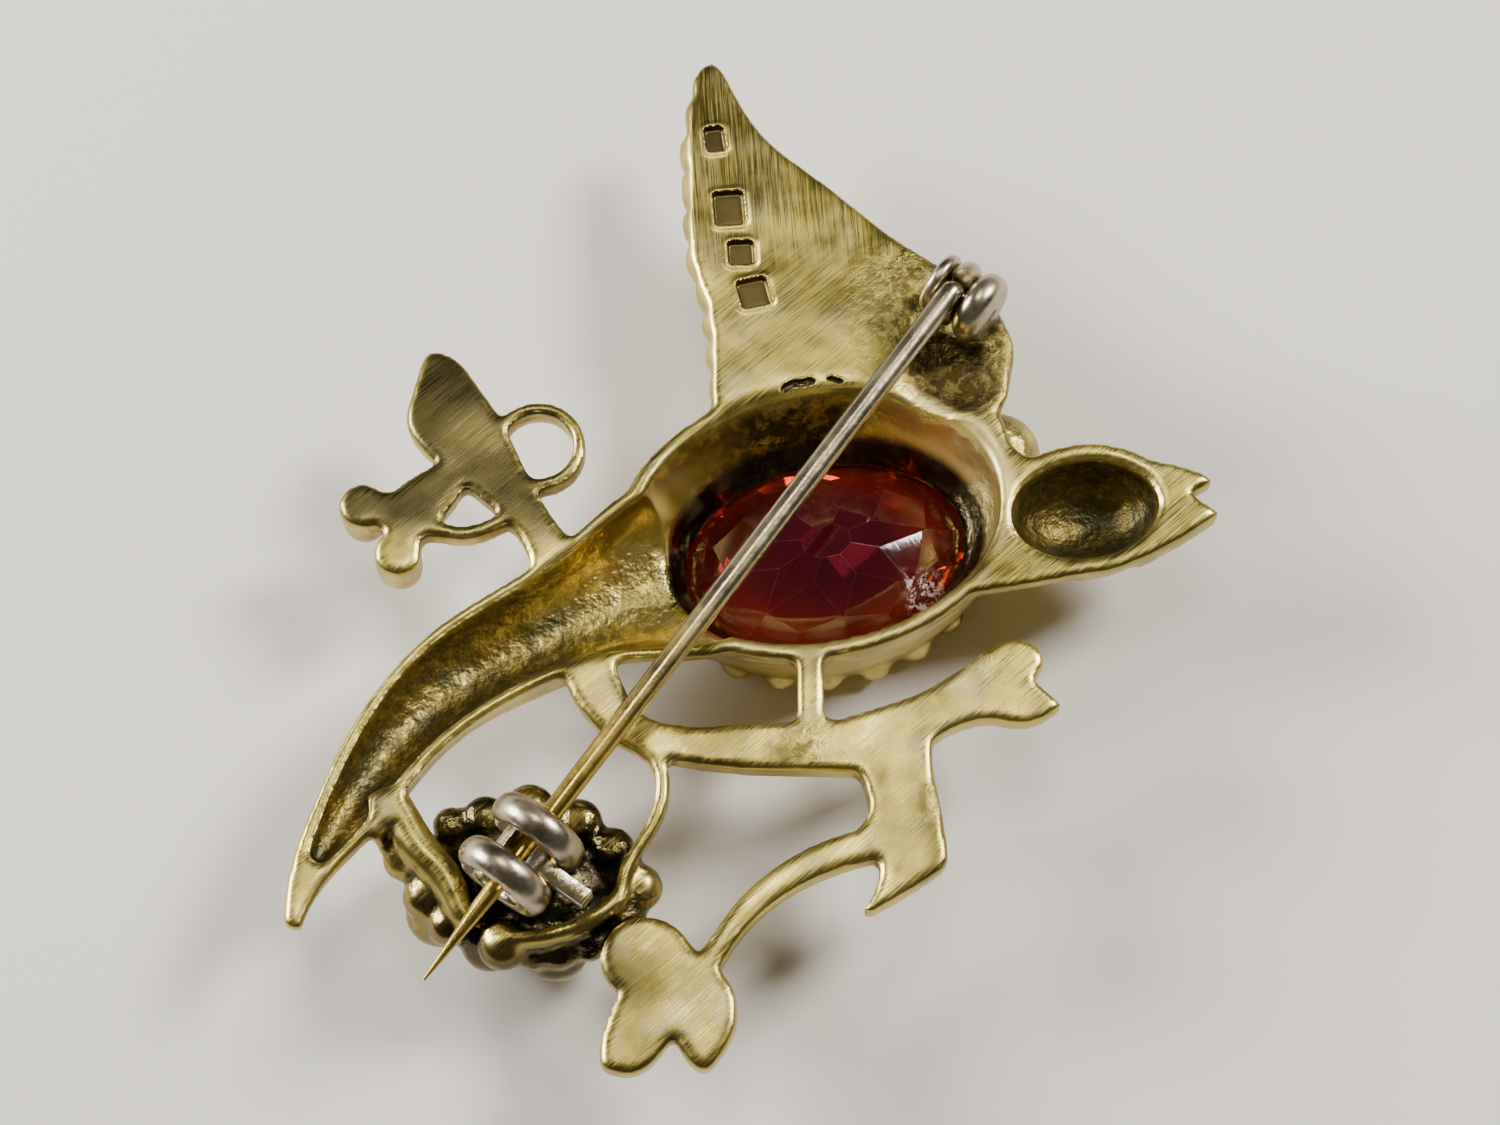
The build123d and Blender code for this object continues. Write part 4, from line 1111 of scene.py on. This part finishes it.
pin.data.bevel_depth = pin_radius
pin.data.bevel_resolution = 6
pin.data.use_fill_caps = True
only(pin)
bpy.ops.object.convert(target="MESH")
pin = bpy.context.object
bpy.ops.object.shade_smooth_by_angle(angle=math.radians(50))
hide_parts("pin_wire")
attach(pin, "brooch")
print("pin", len(pin.data.polygons), "faces")

# %% [markdown]
# The wire is silver-grey where it has been handled near the hinge and keeps its
# gilding towards the point. How far along the pin a point lies is stored on it, and
# some noise is added, so that the change has no straight border.

# %% Pin material
places = read_points(pin)[0]
along = (places - np.array(hinge_middle)) @ np.array(pin_line) / pin_length
store(pin, "along", np.clip(along, 0, 1))
wire, tree, shader = new_material("pin_wire_finish")
place = object_place(tree)
along_pin = stored(tree, "along")
smear = noise(tree, place, 420, 5)
gilding_left = combine(tree, along_pin, times(tree, smear, 0.35))
handled_silver, old_gilding = (0.42, 0.36, 0.235), (0.47, 0.34, 0.075)
tint = mix(tree, between(tree, gilding_left, 0.50, 0.90), handled_silver, old_gilding)
tree.links.new(tint, shader.inputs["Base Color"])
shader.inputs["Metallic"].default_value = 1.0
tree.links.new(between(tree, smear, 0.3, 0.7, 0.20, 0.36), shader.inputs["Roughness"])
tree.links.new(bump(tree, noise(tree, place, 1700, 5), 0.02 * MM), shader.inputs["Normal"])
pin.data.materials.clear()
pin.data.materials.append(wire)

# %% [markdown]
# ## Rivet and rotor
#
# The rivet is only seen from the side. The rotor is a slit sleeve round the pin
# with a thumb tab, and turns to free the pin. Both are merged copies of their CAD
# nodes with a fine bevel on every edge, since no hand-made edge is sharp.


# %% Rivet and rotor shapes
def bevelled_copy(node, name, width, body):
    """A CAD node with softened edges."""
    piece = cad_copy(node, name)
    soft = piece.modifiers.new("soft_edges", "BEVEL")
    soft.width = width
    soft.segments = 3
    soft.limit_method = "ANGLE"
    soft.angle_limit = math.radians(35)
    apply_all(piece)
    bpy.ops.object.shade_smooth_by_angle(angle=math.radians(35))
    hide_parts(node)
    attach(piece, body)
    print(name, len(piece.data.polygons), "faces")
    return piece


rivet = bevelled_copy("hinge_rivet", "rivet", 0.05 * MM, "brooch")
rotor = bevelled_copy("catch_rotor", "rotor_and_tab", 0.12 * MM, "catch")
rivet.data.materials.append(silver)

# %% [markdown]
# Thumbs have rubbed the tab almost through its gilding, so its colour changes from
# pale gold to silver in small patches, and it is the brightest metal of all.

# %% Tab material
bright, tree, shader = new_material("rubbed_gilt_tab")
place = object_place(tree)
smear = noise(tree, place, 1300, 5)
tint = mix(tree, between(tree, smear, 0.4, 0.6), (0.80, 0.66, 0.33), (0.66, 0.62, 0.52))
tree.links.new(tint, shader.inputs["Base Color"])
shader.inputs["Metallic"].default_value = 1.0
tree.links.new(between(tree, smear, 0.3, 0.7, 0.18, 0.34), shader.inputs["Roughness"])
tree.links.new(bump(tree, smear, 0.06 * MM), shader.inputs["Normal"])
rotor.data.materials.append(bright)

# %% Finish
seen_box = [list(corner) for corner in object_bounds()]
for name, (low, high) in (("cad", cad_box), ("visual", seen_box)):
    print(name, [round((b - a) / MM, 3) for a, b in zip(low, high)])
